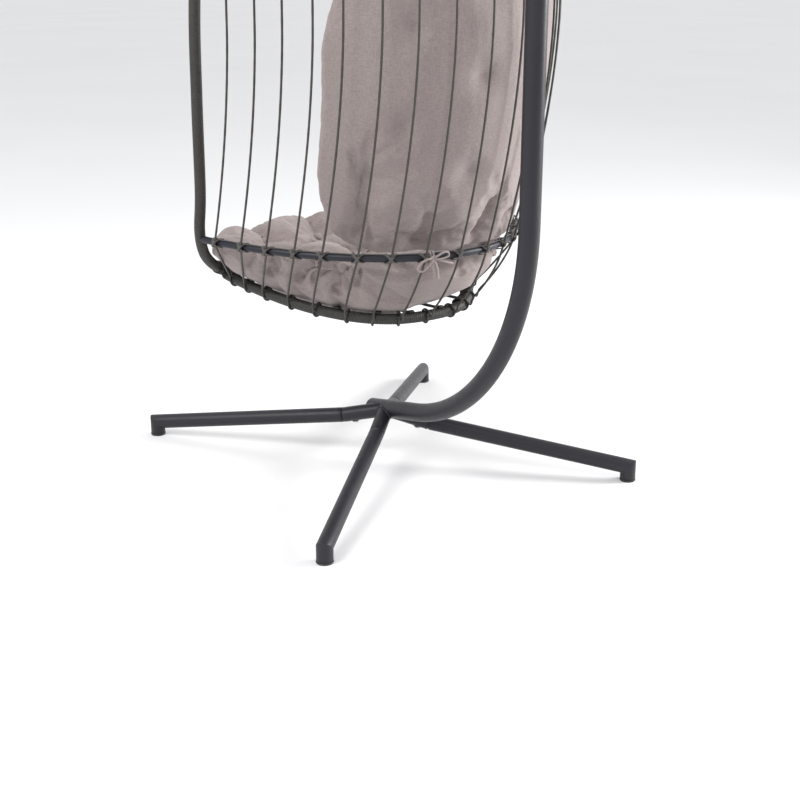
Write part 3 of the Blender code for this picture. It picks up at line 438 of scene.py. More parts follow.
def weld(origin, along, post_p, post_d):
    """Weld bead where a stub meets the post: the crossing curve, with the welder's ripples."""
    bead, ripple_high, ripple_long, steps = .0023, .00035, .0042, 96
    along = unit(along)
    u = unit(np.cross(along, Z))
    w = np.cross(along, u)
    flat = lambda v: v - post_d * np.dot(v, post_d)
    d = flat(along)
    pts = []
    for a in np.arange(steps) * TAU / steps:
        o = origin + (u * cos(a) + w * sin(a)) * LEG_R
        q = flat(o - post_p)
        A, B, C = d @ d, 2 * q @ d, q @ q - POST_R ** 2
        pts.append(o + along * ((-B + sqrt(max(B * B - 4 * A * C, 0))) / (2 * A)))
    wave = lambda s, th: bead + ripple_high * np.abs(np.sin(s / ripple_long * pi)) + 0 * th
    return sweep(even(pts, .0011, True), wave, 10, True)


def screw(base, axis, head):
    """Domed head with a hollow in its middle, and a washer under it."""
    dome = [(0, .0024), (.0021, .0024), (.0024, .0038), (.0034, .0038), (.0047, .003), (.0057, .0014),
            (.0059, .0002), (.0029, -.001)]
    washer = [(.003, .0009), (.0074, .0009), (.0076, .0004), (.0074, -.0004), (.003, -.0004)]
    return join([lathe([(r, head + h) for r, h in reversed(shape)], base, axis, 36)
                 for shape in (softened(dome, .0004), washer)])


def leg_tube(sx, sy):
    """Straight leg whose end is mitred down into a short foot, with a rounded weld over the cut."""
    ease = .0011
    seam, foot = stub_point(sx, sy, STUB_LEN), np.array((sx * FOOT_X, sy * FOOT_Y, FOOT_TOP_Z))
    slope = unit(foot - seam)
    start, top = seam + slope * .0016, foot - slope * .0005
    u = unit(np.cross(slope, Z))
    w = np.cross(slope, u)
    spokes = [u * cos(a) + w * sin(a) for a in np.arange(LEG_SIDES) * TAU / LEG_SIDES]
    stations = [(start, LEG_R - .0006), (start + slope * .0008, LEG_R)]
    stations += [(start + (top - start) * f, LEG_R) for f in np.linspace(.02, .95, 18)]
    rows = [[p + v * r for v in spokes] for p, r in stations]
    cut = unit(slope - Z)
    mitre = [foot + v * LEG_R - slope * (np.dot(v * LEG_R, cut) / np.dot(slope, cut)) for v in spokes]
    before, after = [m - slope * ease for m in mitre], [m - Z * ease for m in mitre]
    eased = [m * .5 + (b + c) * .25 for m, b, c in zip(mitre, before, after)]
    rows += [before, eased, after, [np.array((m[0], m[1], FOOT_LOW_Z + .0006)) for m in mitre],
             [foot * (1, 1, 0) + (m - foot) * (.965, .965, 0) + Z * FOOT_LOW_Z for m in mitre]]
    spigot = sweep([seam - slope * .004, seam + slope * .004], .0138, 32)
    return join([(np.array(rows).reshape(-1, 3), tube_faces(len(rows), LEG_SIDES)), spigot])


def build_stand():
    low = np.concatenate([[(0, TAIL_Y, TAIL_Z)], arc((0, LOW_BEND_Y, LOW_BEND_Z), -Z, Y, LOW_BEND_R,
                                                     LOW_BEND_START, 90, 60)])
    tail, tip = unit(low[1] - low[0]), low[0].copy()
    low = np.concatenate([low, [(0, POST_BACK, z) for z in np.linspace(LOW_BEND_Z + .02, JOINT_Z - SEAM, 14)]])
    low[0] += tail * .001
    parts, beads = [sweep(even(low, .008), POST_R, POST_SIDES, round_end=.0008)], []
    post_p = np.array((0, HUB_Y, TAIL_Z + (HUB_Y - TAIL_Y) * tail[2] / tail[1]))
    for tag, sx, sy in LEGS:
        a, b = stub_point(sx, sy, .004), stub_point(sx, sy, STUB_LEN - .001)
        parts.append(sweep(np.linspace(a, b, 12), LEG_R, LEG_SIDES, round_end=.0007))
        hub = stub_point(sx, sy, 0)
        beads.append(weld(hub, stub_point(sx, sy, 1) - hub, post_p, tail))
    make("stand_post_lower", join(parts), POWDER, "stand", "lower_post")
    make("stand_weld_beads", join(beads), POWDER, "stand")
    up = np.concatenate([[(0, POST_BACK, z) for z in np.linspace(JOINT_Z + SEAM, TOP_BEND_Z - .02, 14)],
                         arc((0, BEND_Y, TOP_BEND_Z), Y, Z, BEND_R, 0, 90, 60),
                         [(0, y, POST_TOP) for y in np.linspace(0, TIP_Y + .001, 4)]])
    sleeve = sweep([(0, POST_BACK, JOINT_Z - .006), (0, POST_BACK, JOINT_Z + .006)], .0176, 40)
    upper = sweep(even(up, .008), POST_R, POST_SIDES, round_end=.0008)
    make("stand_post_upper", join([upper, sleeve]), POWDER, "stand", "upper_post")
    plug = softened([(0, 0), (.012, 0), (.017, .0016), (.019, .004), (.019, .005), (.0164, .005), (.0164, .006),
                     (0, .006)], .0005)
    low_cap = lathe(plug, tip - tail * CAP_OUT, tail, POST_SIDES)
    make("post_cap_low", low_cap, PLASTIC, "stand", "post_cap_lower")
    top_cap = lathe(plug, (0, TIP_Y - CAP_OUT, POST_TOP), Y, POST_SIDES)
    make("post_cap_top", top_cap, PLASTIC, "stand", "post_cap_upper")
    pad = softened([(0, 0), (.0152, 0), (.0165, .0013), (.0165, .004), (.015, .0042), (0, .0042)], .0006)
    for tag, sx, sy in LEGS:
        make("leg_tube_" + tag, leg_tube(sx, sy), POWDER, "stand", "leg_" + tag)
        foot = lathe(pad, (sx * FOOT_X, sy * FOOT_Y, 0), Z, 52)
        make("foot_pad_" + tag, foot, PLASTIC, "stand", "foot_cap_" + tag)
        along = unit(stub_point(sx, sy, STUB_LEN) - stub_point(sx, sy, 0))
        down = unit(np.cross(along, np.cross(along, Z)))
        bolt = screw(stub_point(sx, sy, LEG_SCREW_AT), -down if down[2] > 0 else down, LEG_R + SCREW_PROUD)
        make("leg_screw_" + tag, bolt, STEEL, "stand", "leg_bolt_" + tag)
    for tag, z in (("1", JOINT_Z + .025), ("2", JOINT_Z + .065)):
        bolt = screw((0, POST_BACK, z), Y, POST_R + SCREW_PROUD)
        make("post_screw_" + tag, bolt, STEEL, "stand", "post_bolt_" + tag)


# ---------------------------------------------------------------- hanging gear
def build_gear():
    """Eye bolt, snap hook with its gate, and swivel, each hung in the one above."""
    eye_z = POST_TOP - POST_R - .0055 - EYE_MAJOR - EYE_BAR
    shank_z = eye_z + EYE_MAJOR
    collar = softened([(0, 0), (EYE_BAR, 0), (EYE_BAR, .0047), (.0095, .0047), (.0095, .01), (EYE_BAR, .01),
                       (EYE_BAR, .046), (0, .046)], .0006)
    eye = join([sweep(circle((0, 0, eye_z), X, Z, EYE_MAJOR, 72), EYE_BAR, 24, True),
                lathe(collar, (0, 0, shank_z), Z, 40), thread(EYE_BAR, shank_z + .046, shank_z + .0622)])
    make("eye_bolt", eye, STEEL, "stand", "hanger_eye")

    top_z = eye_z - EYE_MAJOR + EYE_BAR + LINK_GAP + HOOK_BAR - HOOK_HALF
    low_z = top_z - HOOK_TALL
    a = arc((0, 0, top_z), -Y, Z, HOOK_HALF, 0, 179, 34)
    b = arc((0, 0, low_z), Y, -Z, HOOK_HALF, 15, 180, 32)
    hook = np.concatenate([a[::-1], np.linspace(a[0], b[-1], 24)[1:-1], b[::-1]])
    pivot_z = low_z + .005
    pieces = [sweep(hook, HOOK_BAR, 24, round_end=.0012)]
    cheek = softened([(0, 0), (.0042, 0), (.0042, .0016), (0, .0016)], .0004)
    for side in (-1, 1):
        pieces.append(lathe(cheek, (.003 if side > 0 else -.0046, HOOK_HALF, pivot_z), X, 36))
        ends = [(side * .0038, HOOK_HALF, low_z - .005), (side * .0038, HOOK_HALF, pivot_z)]
        pieces.append(sweep(ends, .0032, 20, flat=.25, axes=tuple(np.array([v, v]) for v in (Z, Y, X))))
    make("snap_body", join(pieces), STEEL, "snap", "snap_hook")
    gate = even([(0, HOOK_HALF, pivot_z - .0022), (0, HOOK_HALF, top_z - .0041)], .002)
    make("snap_gate", sweep(gate, .0026, 24, round_end=.0009), STEEL, "gate", "snap_hook_gate")
    rivet = [(0, .0058), (.0014, .0057), (.0024, .0052), (.0024, .0049), (.0012, .0047)]
    rivet = [(r, -h) for r, h in rivet] + rivet[::-1]
    make("snap_rivet", lathe(rivet, (0, HOOK_HALF, pivot_z), X, 28), STEEL, "snap", "gate_rivet")

    eye_z = low_z - HOOK_HALF + HOOK_BAR + LINK_GAP + SWIVEL_BAR - SWIVEL_MAJOR
    seat_z = eye_z - SWIVEL_MAJOR - SWIVEL_BAR + .003 - HOUSING
    cup = softened([(0, HOUSING), (.0095, HOUSING), (.012, HOUSING - .003), (.012, .022), (.0114, .0205),
                    (.0114, .019), (.012, .0175), (.012, .002), (.0105, 0), (.0046, 0), (.0046, .004), (0, .004)],
                   .0006)
    cup = join([lathe(cup[::-1], (0, 0, seat_z), Z, 48),
                sweep(circle((0, 0, eye_z), X, Z, SWIVEL_MAJOR, 64), SWIVEL_BAR, 20, True)])
    make("swivel_cup", cup, STEEL, "swivel", "swivel_housing")
    over, under = HOOP[-1][2] + HOOP_R, HOOP[-1][2] - HOOP_R
    stem = softened([(0, over - .001), (.01, over + .0006), (.01, over + .0045), (.004, over + .0065),
                     (.004, seat_z + .003), (0, seat_z + .0034)], .0005)
    stem = join([lathe(stem, (0, 0, 0), Z, 40), thread(.0036, under - .014, under + .002)])
    make("swivel_bolt", stem, STEEL, "basket", "swivel_stem")
    nut = hexnut(POST_TOP + POST_R + .0003, POST_TOP + POST_R + .0083, .0105, EYE_BAR)
    make("eye_nut", nut, STEEL, "stand", "hanger_nut", smooth=False)
    nut = hexnut(under - .0114, under - .0034, .0085, .0036)
    make("swivel_nut", nut, STEEL, "basket", "stem_nut", smooth=False)


# ---------------------------------------------------------------- basket frame
def wrapped_tube(path, radius, pitch, closed=False, depth=.0006, round_end=0.0, sides=22):
    """Tube wound with flat resin strip: one rounded rib a turn."""
    total = lengths(np.asarray(path), closed)[-1]
    turns = int(round(total / pitch))
    P = even(path, None, closed, count=turns * WRAP_TURN_POINTS)
    step = total / turns if closed else pitch
    rib = lambda s, th: radius - depth * np.abs(((s / step + th / TAU) % 1.0) * 2 - 1) ** 2.4
    return sweep(P, rib, sides, closed, round_end=round_end)


def hoop_line():
    right = [np.array(p, float) for p in HOOP]
    left = [p * MIRROR for p in reversed(right[1:-1])]
    return even(catmull(right + left, 24, True), .002, True)


def ring_normal(deg):
    a = radians(deg)
    return unit((sin(a) / RING_A, cos(a) / RING_B, 0))


def ring_point(deg):
    a = radians(deg)
    return np.array((RING_A * sin(a), RING_YC + RING_B * cos(a), RING_Z))


def base_z(y):
    return .373 - .1 * y


def base_normal(x, y):
    gx = copysign(abs(x / BASE_A) ** (BASE_N - 1) / BASE_A, x)
    gy = abs((y - BASE_YC) / BASE_B) ** (BASE_N - 1) / BASE_B
    return unit((gx, gy, 0))


def base_half():
    """The bottom ring's line from its middle to its end at the hoop."""
    half = []
    for f in np.linspace(0, 1, 49):
        a = radians(BASE_SPAN * f ** 1.25)
        x, y = BASE_A * abs(sin(a)) ** (2 / BASE_N), BASE_YC + BASE_B * abs(cos(a)) ** (2 / BASE_N)
        half.append(np.array((x, y, base_z(y))))
    return half + [np.array(BASE_TIP)]


HALF = base_half()


def base_near(x, y):
    best = None
    for a, b in zip(HALF, HALF[1:]):
        run = b - a
        f = min(1.0, max(.0, ((x - a[0]) * run[0] + (y - a[1]) * run[1]) / (run[0] ** 2 + run[1] ** 2)))
        p = a + run * f
        d = hypot(p[0] - x, p[1] - y)
        if best is None or d < best[0]:
            n = unit((-run[1], run[0], 0))
            best = (d, p, n if n @ (p - (0, -.3, 0)) > 0 else -n, unit(run))
    return best[1:]


def crown_centre():
    return np.array((0, HOOP_R + .0003 + CROWN_BAR + CROWN_R, CROWN_Z))


def build_basket_frame():
    hoop = hoop_line()
    make("hoop_wrap", wrapped_tube(hoop, HOOP_R, WRAP_PITCH, True), WICKER, "basket", "front_hoop")
    path = catmull([p * MIRROR for p in reversed(HALF[1:])] + HALF, 4)
    ring = wrapped_tube(path, BASE_R, BASE_PITCH, depth=.001, round_end=.002)
    make("bottom_ring_wrap", ring, BASEWRAP, "basket", "bottom_ring")
    # where the bottom ring meets the hoop: a short tight binding over both
    binds = []
    for s in (1, -1):
        near = min(range(len(hoop)), key=lambda i: np.linalg.norm(hoop[i] - HALF[-1] * (s, 1, 1)))
        for k in range(-4, 5):
            i = (near + k * 2) % len(hoop)
            T = unit(hoop[(i + 1) % len(hoop)] - hoop[i - 1])
            u = unit(np.cross(T, Z))
            binds.append(sweep(circle(hoop[i], u, np.cross(T, u), HOOP_R + .001, 40), .0019, 8, True))
    make("ring_end_binding", join(binds), WICKER, "basket")
    pts = [ring_point(-RING_END + 2 * RING_END * i / 160) for i in range(161)]
    make("mid_ring_tube", sweep(even(pts, .007), RING_R, 32, round_end=.001), RING, "basket", "mid_ring")
    H = np.array(HOOP)
    for tag, s in (("left", 1), ("right", -1)):
        end = ring_point(s * RING_END)
        ahead = unit(end - ring_point(s * (RING_END - 1)))
        target = (H[5] + (H[6] - H[5]) * (RING_Z - H[5][2]) / (H[6][2] - H[5][2])) * (s, 1, 1)
        reach = (target - end) @ ahead - HOOP_R * .72
        stud = softened([(0, -.002), (.0042, -.002), (.0042, .0006), (.0066, .0006), (.0066, .003), (.005, .003),
                         (.005, reach), (0, reach)], .0005)
        make("ring_bracket_" + tag, lathe(stud, end, ahead, 32), RING, "basket", "ring_stud_" + tag)
    crown = sweep(circle(crown_centre(), X, Y, CROWN_R, 140), CROWN_BAR, 24, True)
    make("crown_ring_bar", crown, RING, "basket", "crown_ring")
    # binding that holds the crown ring against the hoop
    turns, hoop_z = [], 1.6195
    loop = [(-HOOP_R - .0014, hoop_z), (-.006, hoop_z + HOOP_R + .0004), (.008, 1.6275), (.0215, CROWN_Z + .004),
            (.0215, CROWN_Z - .005), (.008, 1.6075), (-.006, hoop_z - HOOP_R - .0006)]
    for k in range(-3, 4):
        P = catmull([(k * .0028, y, z) for y, z in loop], 8, True)
        turns.append(sweep(even(P, .0016, True), .00135, 8, True))
    make("crown_binding", join(turns), STRAND, "basket")


# ---------------------------------------------------------------- strands
def strand_line(index):
    """A strand from a turn round the crown ring, over the seat ring, to a hook round the bottom ring."""
    k = abs(index)
    n, knot = ring_normal(KNOT_DEG[k]), ring_point(KNOT_DEG[k])
    a, spread = radians(KNOT_DEG[k]), radians(12.0 * k)
    wide = np.array((WIDE_A * sin(a), WIDE_YC + WIDE_B * cos(a), WIDE_Z))
    c, out = crown_centre(), np.array((sin(spread), cos(spread), 0))
    side = np.array((out[1], -out[0], 0))
    crown = c + out * (CROWN_R + CROWN_BAR + .0007)
    end, end_n, end_t = base_near(*BASE_END[k])
    low = end + end_n * HOOK_OUT[k] + Z * HOOK_UP[k]
    hold, grip, bite = RING_R + STRAND_R + .0005, CROWN_BAR + STRAND_R + .0003, BASE_R + STRAND_R + .0002
    up_slope = atan2(SHELL_POWER * (wide - knot) @ n, WIDE_Z - RING_Z)
    drop = low - knot
    low_slope = atan2(-(drop @ n), -drop[2])
    pts = [c + out * CROWN_R + around(out, grip, radians(-400.0 + 400.0 * i / 14)) + side * (.0047 * (1 - i / 13.0))
           for i in range(14)]
    for i in range(1, 12):
        b = radians(90.0 - 90.0 * i / 12)
        h, v = cos(b) ** .92, sin(b) ** .92
        pts.append(crown + (wide - crown) * (h, h, 0) + Z * (WIDE_Z - crown[2] + (crown[2] - WIDE_Z) * v))
    top = knot + around(n, hold, -up_slope)
    for i in range(8):
        q = 1.0 - i / 8.0
        f = 1.0 - (1.0 - q) ** SHELL_POWER
        pts.append(top + (wide - top) * (f, f, q))
    pts += [knot + around(n, hold, -(up_slope + (low_slope - up_slope) * f)) for f in (0.0, .5, 1.0)]
    start = pts[-1]
    for f in (.2, .4, .6, .8):
        pts.append(start + (low - start) * f + (n + end_n) * (BOW[k] * f * (1 - f) * 2))
    pts.append(low)
    if k > 4:
        # straight down past the ring's outer side, under it and up the inner side
        rows = [(-20, 0), (-60, 0), (-100, .001), (-150, .002), (-190, .003), (-235, .004), (-270, .005),
                (-300, .0055)]
    else:
        for share, up in ((.66, .0035), (.3, .0015)):
            pts.append(end + end_n * (bite + (HOOK_OUT[k] - bite) * share) + Z * up)
        rows = [(18 + 31 * i, .0046 * i / 12) for i in range(1, 13)]
    pts += [end + around(end_n, bite, radians(turn)) + end_t * along for turn, along in rows]
    return np.array(pts) * (MIRROR if index < 0 else 1)


def build_strands():
    for number, index in enumerate(range(-8, 9), 1):
        ph = number * 1.7
        uneven = lambda s, th: STRAND_R * (1 + .035 * np.sin(s * 210 + ph) + .02 * np.sin(s * 83 + 2 * ph)) + 0 * th
        tube = sweep(even(catmull(strand_line(index), 6), .0045), uneven, 12, round_end=.0006)
        make("strand_rod_%02d" % number, tube, STRAND, "basket", "strand_%02d" % number)


def build_twine():
    """Crossed lashings that hold each strand on the seat ring, and the cord between them."""
    parts = []
    for index in range(-8, 9):
        deg = copysign(KNOT_DEG[abs(index)], index)
        n, c = ring_normal(deg), ring_point(deg)
        t = np.array((n[1], -n[0], 0))
        reach = .0098 + .0006 * .4 * sin(index * 2.3)
        for lean in (1, -1):
            for turn in (-1, 0, 1):
                pts = []
                for a in np.arange(36) * TAU / 36:
                    front = max(0.0, cos(a))
                    over = 2 * TWINE_R * (.35 + .65 * front ** 2) if lean < 0 else 0
                    rad = RING_R + TWINE_R + (2 * STRAND_R + .0003) * front ** 3 + over
                    along = lean * reach * sin(a) + turn * 2.15 * TWINE_R * (.9 + .25 * abs(sin(a)))
                    pts.append(c + around(n, rad, a) + t * along)
                parts.append(sweep(even(pts, .0016, True), TWINE_R, 7, True))
    make("twine_knots", join(parts), TWINE, "basket", "ring_lashing")
    # the cord runs on from knot to knot along the ring's upper edge
    pts = []
    for deg in np.linspace(-KNOT_DEG[8], KNOT_DEG[8], 401):
        near = min(abs(abs(deg) - knot) for knot in KNOT_DEG)
        a = radians(74 - 26 * exp(-(near / 1.6) ** 2))
        rad = RING_R + RUN_R + .0024 * exp(-(near / 1.3) ** 2)
        pts.append(ring_point(deg) + around(ring_normal(deg), rad, a))
    twist = lambda s, th: RUN_R * (1 + .08 * np.sin(s * 900 + th))
    make("twine_run", sweep(even(catmull(pts, 2), .003), twist, 9, round_end=.0004), TWINE, "basket")


def flat_section(half):
    """Radius of a rounded rectangle's section; the sweep's flat sets its thickness."""
    return lambda s, th: half / (np.abs(np.cos(th)) ** 4 + np.abs(np.sin(th)) ** 4) ** .25


def build_straps():
    """Flat straps, sagging from the bottom ring's rear to the hoop's front, wrapped a little round both."""
    hoop, number = hoop_line(), 0
    bite, ribs = BASE_R + .0026, .0042
    for s in (-1, 1):
        for x, sag in zip(STRAP_X, STRAP_SAG):
            number += 1
            yb = BASE_YC + BASE_B * (1 - (x / BASE_A) ** BASE_N) ** (1 / BASE_N)
            nb = base_normal(x, yb)
            back = np.array((x, yb, base_z(yb)))
            front = min((p for p in hoop if p[2] < .42), key=lambda p: abs(p[0] - x) + (0 if p[1] < -.2 else 9))
            pts = [back + around(nb, bite, radians(b)) for b in (75, 110, 150, 200)]
            a0, b0 = pts[-1] - nb * .01 - Z * .0065, front + np.array((0, .02, -.01))
            pts += [a0 + (b0 - a0) * f - Z * (sag * 3.6 * f * (1 - f)) for f in np.linspace(0, 1, 15)]
            pts += [front + around(Y, bite, radians(b)) for b in (-20, 30, 70, 105)]
            P = even(catmull(np.array(pts) * (s, 1, 1), 8), .0016)
            # wide across the chair, thin up and down
            T = np.gradient(P, axis=0)
            T /= np.linalg.norm(T, axis=1)[:, None]
            U = X - T * T[:, :1]
            U /= np.linalg.norm(U, axis=1)[:, None]
            section = flat_section(STRAP_HALF)
            shape = lambda q, th: section(q, th) * (1 - .06 * np.abs(((q / ribs) % 1) * 2 - 1) ** 2)
            band = sweep(P, shape, 20, flat=STRAP_FLAT, axes=(T, U, np.cross(T, U)), round_end=.0004)
            make("seat_band_%d" % number, band, STRAP, "basket", "seat_strap_%d" % number)


def build_tie():
    """Bow on the seat ring: two turns, a knot, two loops, two tails and the lead sewn into the cushion."""
    deg = degrees(asin(TIE_X / RING_A))
    c, n = ring_point(deg), ring_normal(deg)
    t = np.array((n[1], -n[0], 0))
    knot_at = c + n * (RING_R + .0075)
    place = lambda pts: [knot_at + t * a + n * b + Z * h for a, b, h in pts]
    parts = [sweep(even(circle(c + t * off, n, Z, RING_R + .004, 48), .0015, True), .0021, 12, True)
             for off in (-.003, .003)]
    knot = place([(-.0036, .001, .0034), (.0014, .0038, .0038), (.0046, .0026, -.001), (.0006, .0036, -.0046),
                  (-.004, .0024, -.0016)])
    parts.append(sweep(even(catmull(knot, 10, True), .0012, True), .0025, 12, True))
    make("tie_knot", join(parts), CLOTH, "basket", "cushion_tie")
    bows = [[(.001, .0025, 0), (.012, .0062, .0005), (.024, .006, -.005), (.031, .0045, -.014),
             (.029, .004, -.0215), (.02, .0046, -.0215), (.01, .0052, -.0125), (.002, .005, -.0035)],
            [(-.001, .0025, 0), (-.01, .006, .0075), (-.02, .0055, .012), (-.0285, .004, .0105),
             (-.03, .0036, .004), (-.021, .0044, .0005), (-.01, .0052, -.001)]]
    loops = [sweep(even(catmull(place(pts), 10, True), .0014, True), TIE_WIDE / 2, 12, True,
                   flat=TIE_THICK / TIE_WIDE) for pts in bows]
    make("tie_loops", join(loops), CLOTH, "basket")
    tapes = [("tie_tail_1", "bare", [(.001, .003, -.003), (.0015, .0052, -.012), (-.001, .0052, -.024),
                                     (-.0025, .0042, -.039)]),
             ("tie_tail_2", "bare", [(-.001, .003, -.003), (-.0045, .0056, -.011), (-.0075, .0056, -.023),
                                     (-.009, .0046, -.038)]),
             ("tie_lead", "object", [(-.003, .002, -.001), (-.014, .003, -.004), (-.028, 0, -.0085),
                                     (-.04, -.01, -.013), (-.048, -.022, -.0165), (-.051, -.036, -.0185)])]
    for name, far_end, pts in tapes:
        P = even(catmull(place(pts), 10), .0016)
        mesh = sweep(P, flat_section(TIE_WIDE / 2), 12, flat=TIE_THICK / TIE_WIDE, round_end=.0002)
        obj = make(name, mesh, CLOTH, "basket")


# ---------------------------------------------------------------- cushions
VOXEL_SEAT, VOXEL_BACK = .0055, .006
SEAT_LEVELS = [(.335, .15), (.347, .094), (.36, .058), (.374, .034), (.388, .0195), (.402, .01), (.43, .0045),
               (.456, .005), (.47, .0085), (.482, .015), (.491, .025), (CREST_Z, .04)]      # height, inset
SEAT_LIMITS = [(.33, .16), (.338, .125), (.347, .085), (.36, .05), (.374, .027), (.388, .0135), (.402, .002),
               (.43, -.0045), (.462, -.004), (.478, .005), (.488, .013), (.505, .015), (.52, .024), (.54, .034)]
SEAT_HOLLOW = [(.92, .001), (.84, .007), (.75, .017), (.64, .027), (.5, .033), (.35, .035), (.18, .036)]
BACK_Z0, BACK_Z1, BACK_HALF, BACK_RING_IN = .492, 1.13, .238, .011


def loft(rows, bottom, top):
    """Closed skin over rows of equal length, with a point at each end."""
    steps = len(rows[0])
    V = np.concatenate([[bottom], *rows, [top]])
    F = [(0, 1 + (k + 1) % steps, 1 + k) for k in range(steps)]
    for i in range(len(rows) - 1):
        a, b = 1 + i * steps, 1 + (i + 1) * steps
        for k in range(steps):
            k2 = (k + 1) % steps
            F.append((a + k, a + k2, b + k2, b + k))
    last = 1 + (len(rows) - 1) * steps
    return V, F + [(last + k, last + (k + 1) % steps, len(V) - 1) for k in range(steps)]


def apply_modifiers(obj):
    dg = bpy.context.evaluated_depsgraph_get()
    mesh = bpy.data.meshes.new_from_object(obj.evaluated_get(dg))
    old = obj.data
    obj.modifiers.clear()
    obj.data = mesh
    bpy.data.meshes.remove(old)


def read(obj, what="co"):
    v = np.empty(len(obj.data.vertices) * 3)
    obj.data.vertices.foreach_get(what, v)
    return v.reshape(-1, 3)


def set_coords(obj, v):
    obj.data.vertices.foreach_set("co", np.asarray(v, float).ravel())
    obj.data.update()


def sink(obj, depth):
    set_coords(obj, read(obj) - read(obj, "normal") * depth[:, None])


def surface(obj):
    return BVHTree.FromPolygons([tuple(p) for p in read(obj)], [tuple(f.vertices) for f in obj.data.polygons])


def nearest(obj):
    """A function that moves a point onto the cover as it is now."""
    tree = surface(obj)
    return lambda p: np.array(tree.find_nearest(Vector(p))[0])


def dimple(obj, tufts):
    """Press buttons into the padding; each tuft is (point, depth, width)."""
    P, depth = read(obj), 0
    for p, d, w in tufts:
        r = np.linalg.norm(P - np.asarray(p), axis=1)
        depth = np.maximum(depth, d * np.exp(-(r / w) ** 1.35))
    sink(obj, depth)


def carve(obj, lines):
    """Folds in the cover; each line is (points, depth, width) and fades at its ends."""
    P = read(obj)
    depth = np.zeros(len(P))
    for way, d, w in lines:
        # a few of the points only, so that small bumps under the line don't bend it
        few = [way[int(round(i))] for i in np.linspace(0, len(way) - 1, max(3, len(way) // 5 + 1))]
        Q = even(catmull(few, 8), .003)
        near = np.nonzero(np.min(np.linalg.norm(P[:, None, :] - Q[None, ::4], axis=2), axis=1) < w * 3.5 + .008)[0]
        if not len(near):
            continue
        D = np.linalg.norm(P[near][:, None, :] - Q[None], axis=2)
        f = D.argmin(axis=1) / (len(Q) - 1)
        fade = np.clip(np.minimum(f, 1 - f) * 5 + .25, 0, 1)
        depth[near] = np.maximum(depth[near], d * fade * np.exp(-(D.min(axis=1) / w) ** 1.15))
    sink(obj, depth)


def inflate(obj, pins, cap, slack, pressure=3.2, frames_n=18, hold=.00825):
    """Cloth under pressure, buttons and stitches held, with every point's travel capped."""
    start = read(obj)
    group = obj.vertex_groups.new(name="held")
    d = np.min(np.linalg.norm(start[:, None, :] - np.asarray(pins)[None], axis=2), axis=1)
    for i in np.nonzero(d < hold)[0]:
        group.add([int(i)], 1.0, "REPLACE")
    mod = obj.modifiers.new("fill", "CLOTH")
    values = dict(quality=5, mass=.25, tension_stiffness=12, compression_stiffness=12, shear_stiffness=6,
                  bending_stiffness=.35, use_pressure=True, uniform_pressure_force=pressure, shrink_min=-slack,
                  vertex_group_mass="held")
    for key, value in values.items():
        setattr(mod.settings, key, value)
    mod.settings.effector_weights.gravity = 0
    mod.collision_settings.use_self_collision = False
    mod.point_cache.frame_end = frames_n
    for f in range(1, frames_n + 1):
        bpy.context.scene.frame_set(f)
    apply_modifiers(obj)
    bpy.context.scene.frame_set(1)
    move = read(obj) - start
    r = np.linalg.norm(move, axis=1)
    move *= np.where(r > cap, cap / np.maximum(r, 1e-9), 1.0)[:, None]
    set_coords(obj, start + move)
    obj.vertex_groups.clear()


def modify(obj, name, kind, **values):
    mod = obj.modifiers.new(name, kind)
    for key, value in values.items():
        setattr(mod, key, value)
    apply_modifiers(obj)


def relax(obj, times):
    modify(obj, "relax", "SMOOTH", factor=.5, iterations=times)


def start_cover(obj, voxel):
    modify(obj, "even", "REMESH", mode="VOXEL", voxel_size=voxel)
    relax(obj, 2)


def subdivide(obj):
    modify(obj, "fine", "SUBSURF", levels=1, render_levels=1)


def ripple(obj, scale, amount, seed):
    """Small soft unevenness, the same on every run."""
    off = [noise.noise(Vector((p[0] * scale + seed, p[1] * scale, p[2] * scale))) for p in read(obj)]
    sink(obj, -np.array(off) * amount)


def finish_cloth(obj, mat):
    obj.data.materials.clear()
    obj.data.materials.append(mat)
    obj.data.shade_smooth()


def front_fill(h):
    """How far the seat pad reaches over the front of the hoop at a level, 0 to 1."""
    fall = ((.47 - h) / .135) ** 2 * 1.05 if h < .47 else ((h - .47) / .05) ** 2 * .5
    return max(0.0, min(1.05, 1.05 - fall))


def level_z(y, h):
    """Height of an outline's point: low down it follows the bottom ring's slope, on top it falls to the front."""
    lean = np.clip((.47 - h) / .07, 0, 1)
    fall = np.clip((h - .45) / .05, 0, 1)
    return h - .1 * y * lean + .11 * fall * np.minimum(0.0, y + .1) - .25 * fall * np.clip(y - .08, 0, .09)


def side_point(k, h, inset=0.0):
    """Place on the strands' inner surface at a strand number and height, moved inwards."""
    i = min(int(k), 7)
    knot = ring_point(float(np.interp(k, range(9), KNOT_DEG)))
    e0, e1 = base_near(*BASE_END[i])[0], base_near(*BASE_END[i + 1])[0]
    end = e0 + (e1 - e0) * (k - i)
    z = level_z(end[1], h) if h < .45 else h
    p = end + (knot - end) * max(0.0, (z - end[2]) / (knot[2] - end[2]))
    to = (MIDDLE - p) * (1, 1, 0)
    d = np.linalg.norm(to)
    p = p + to / d * min(inset, d * .9)
    return np.array((p[0], p[1], z))


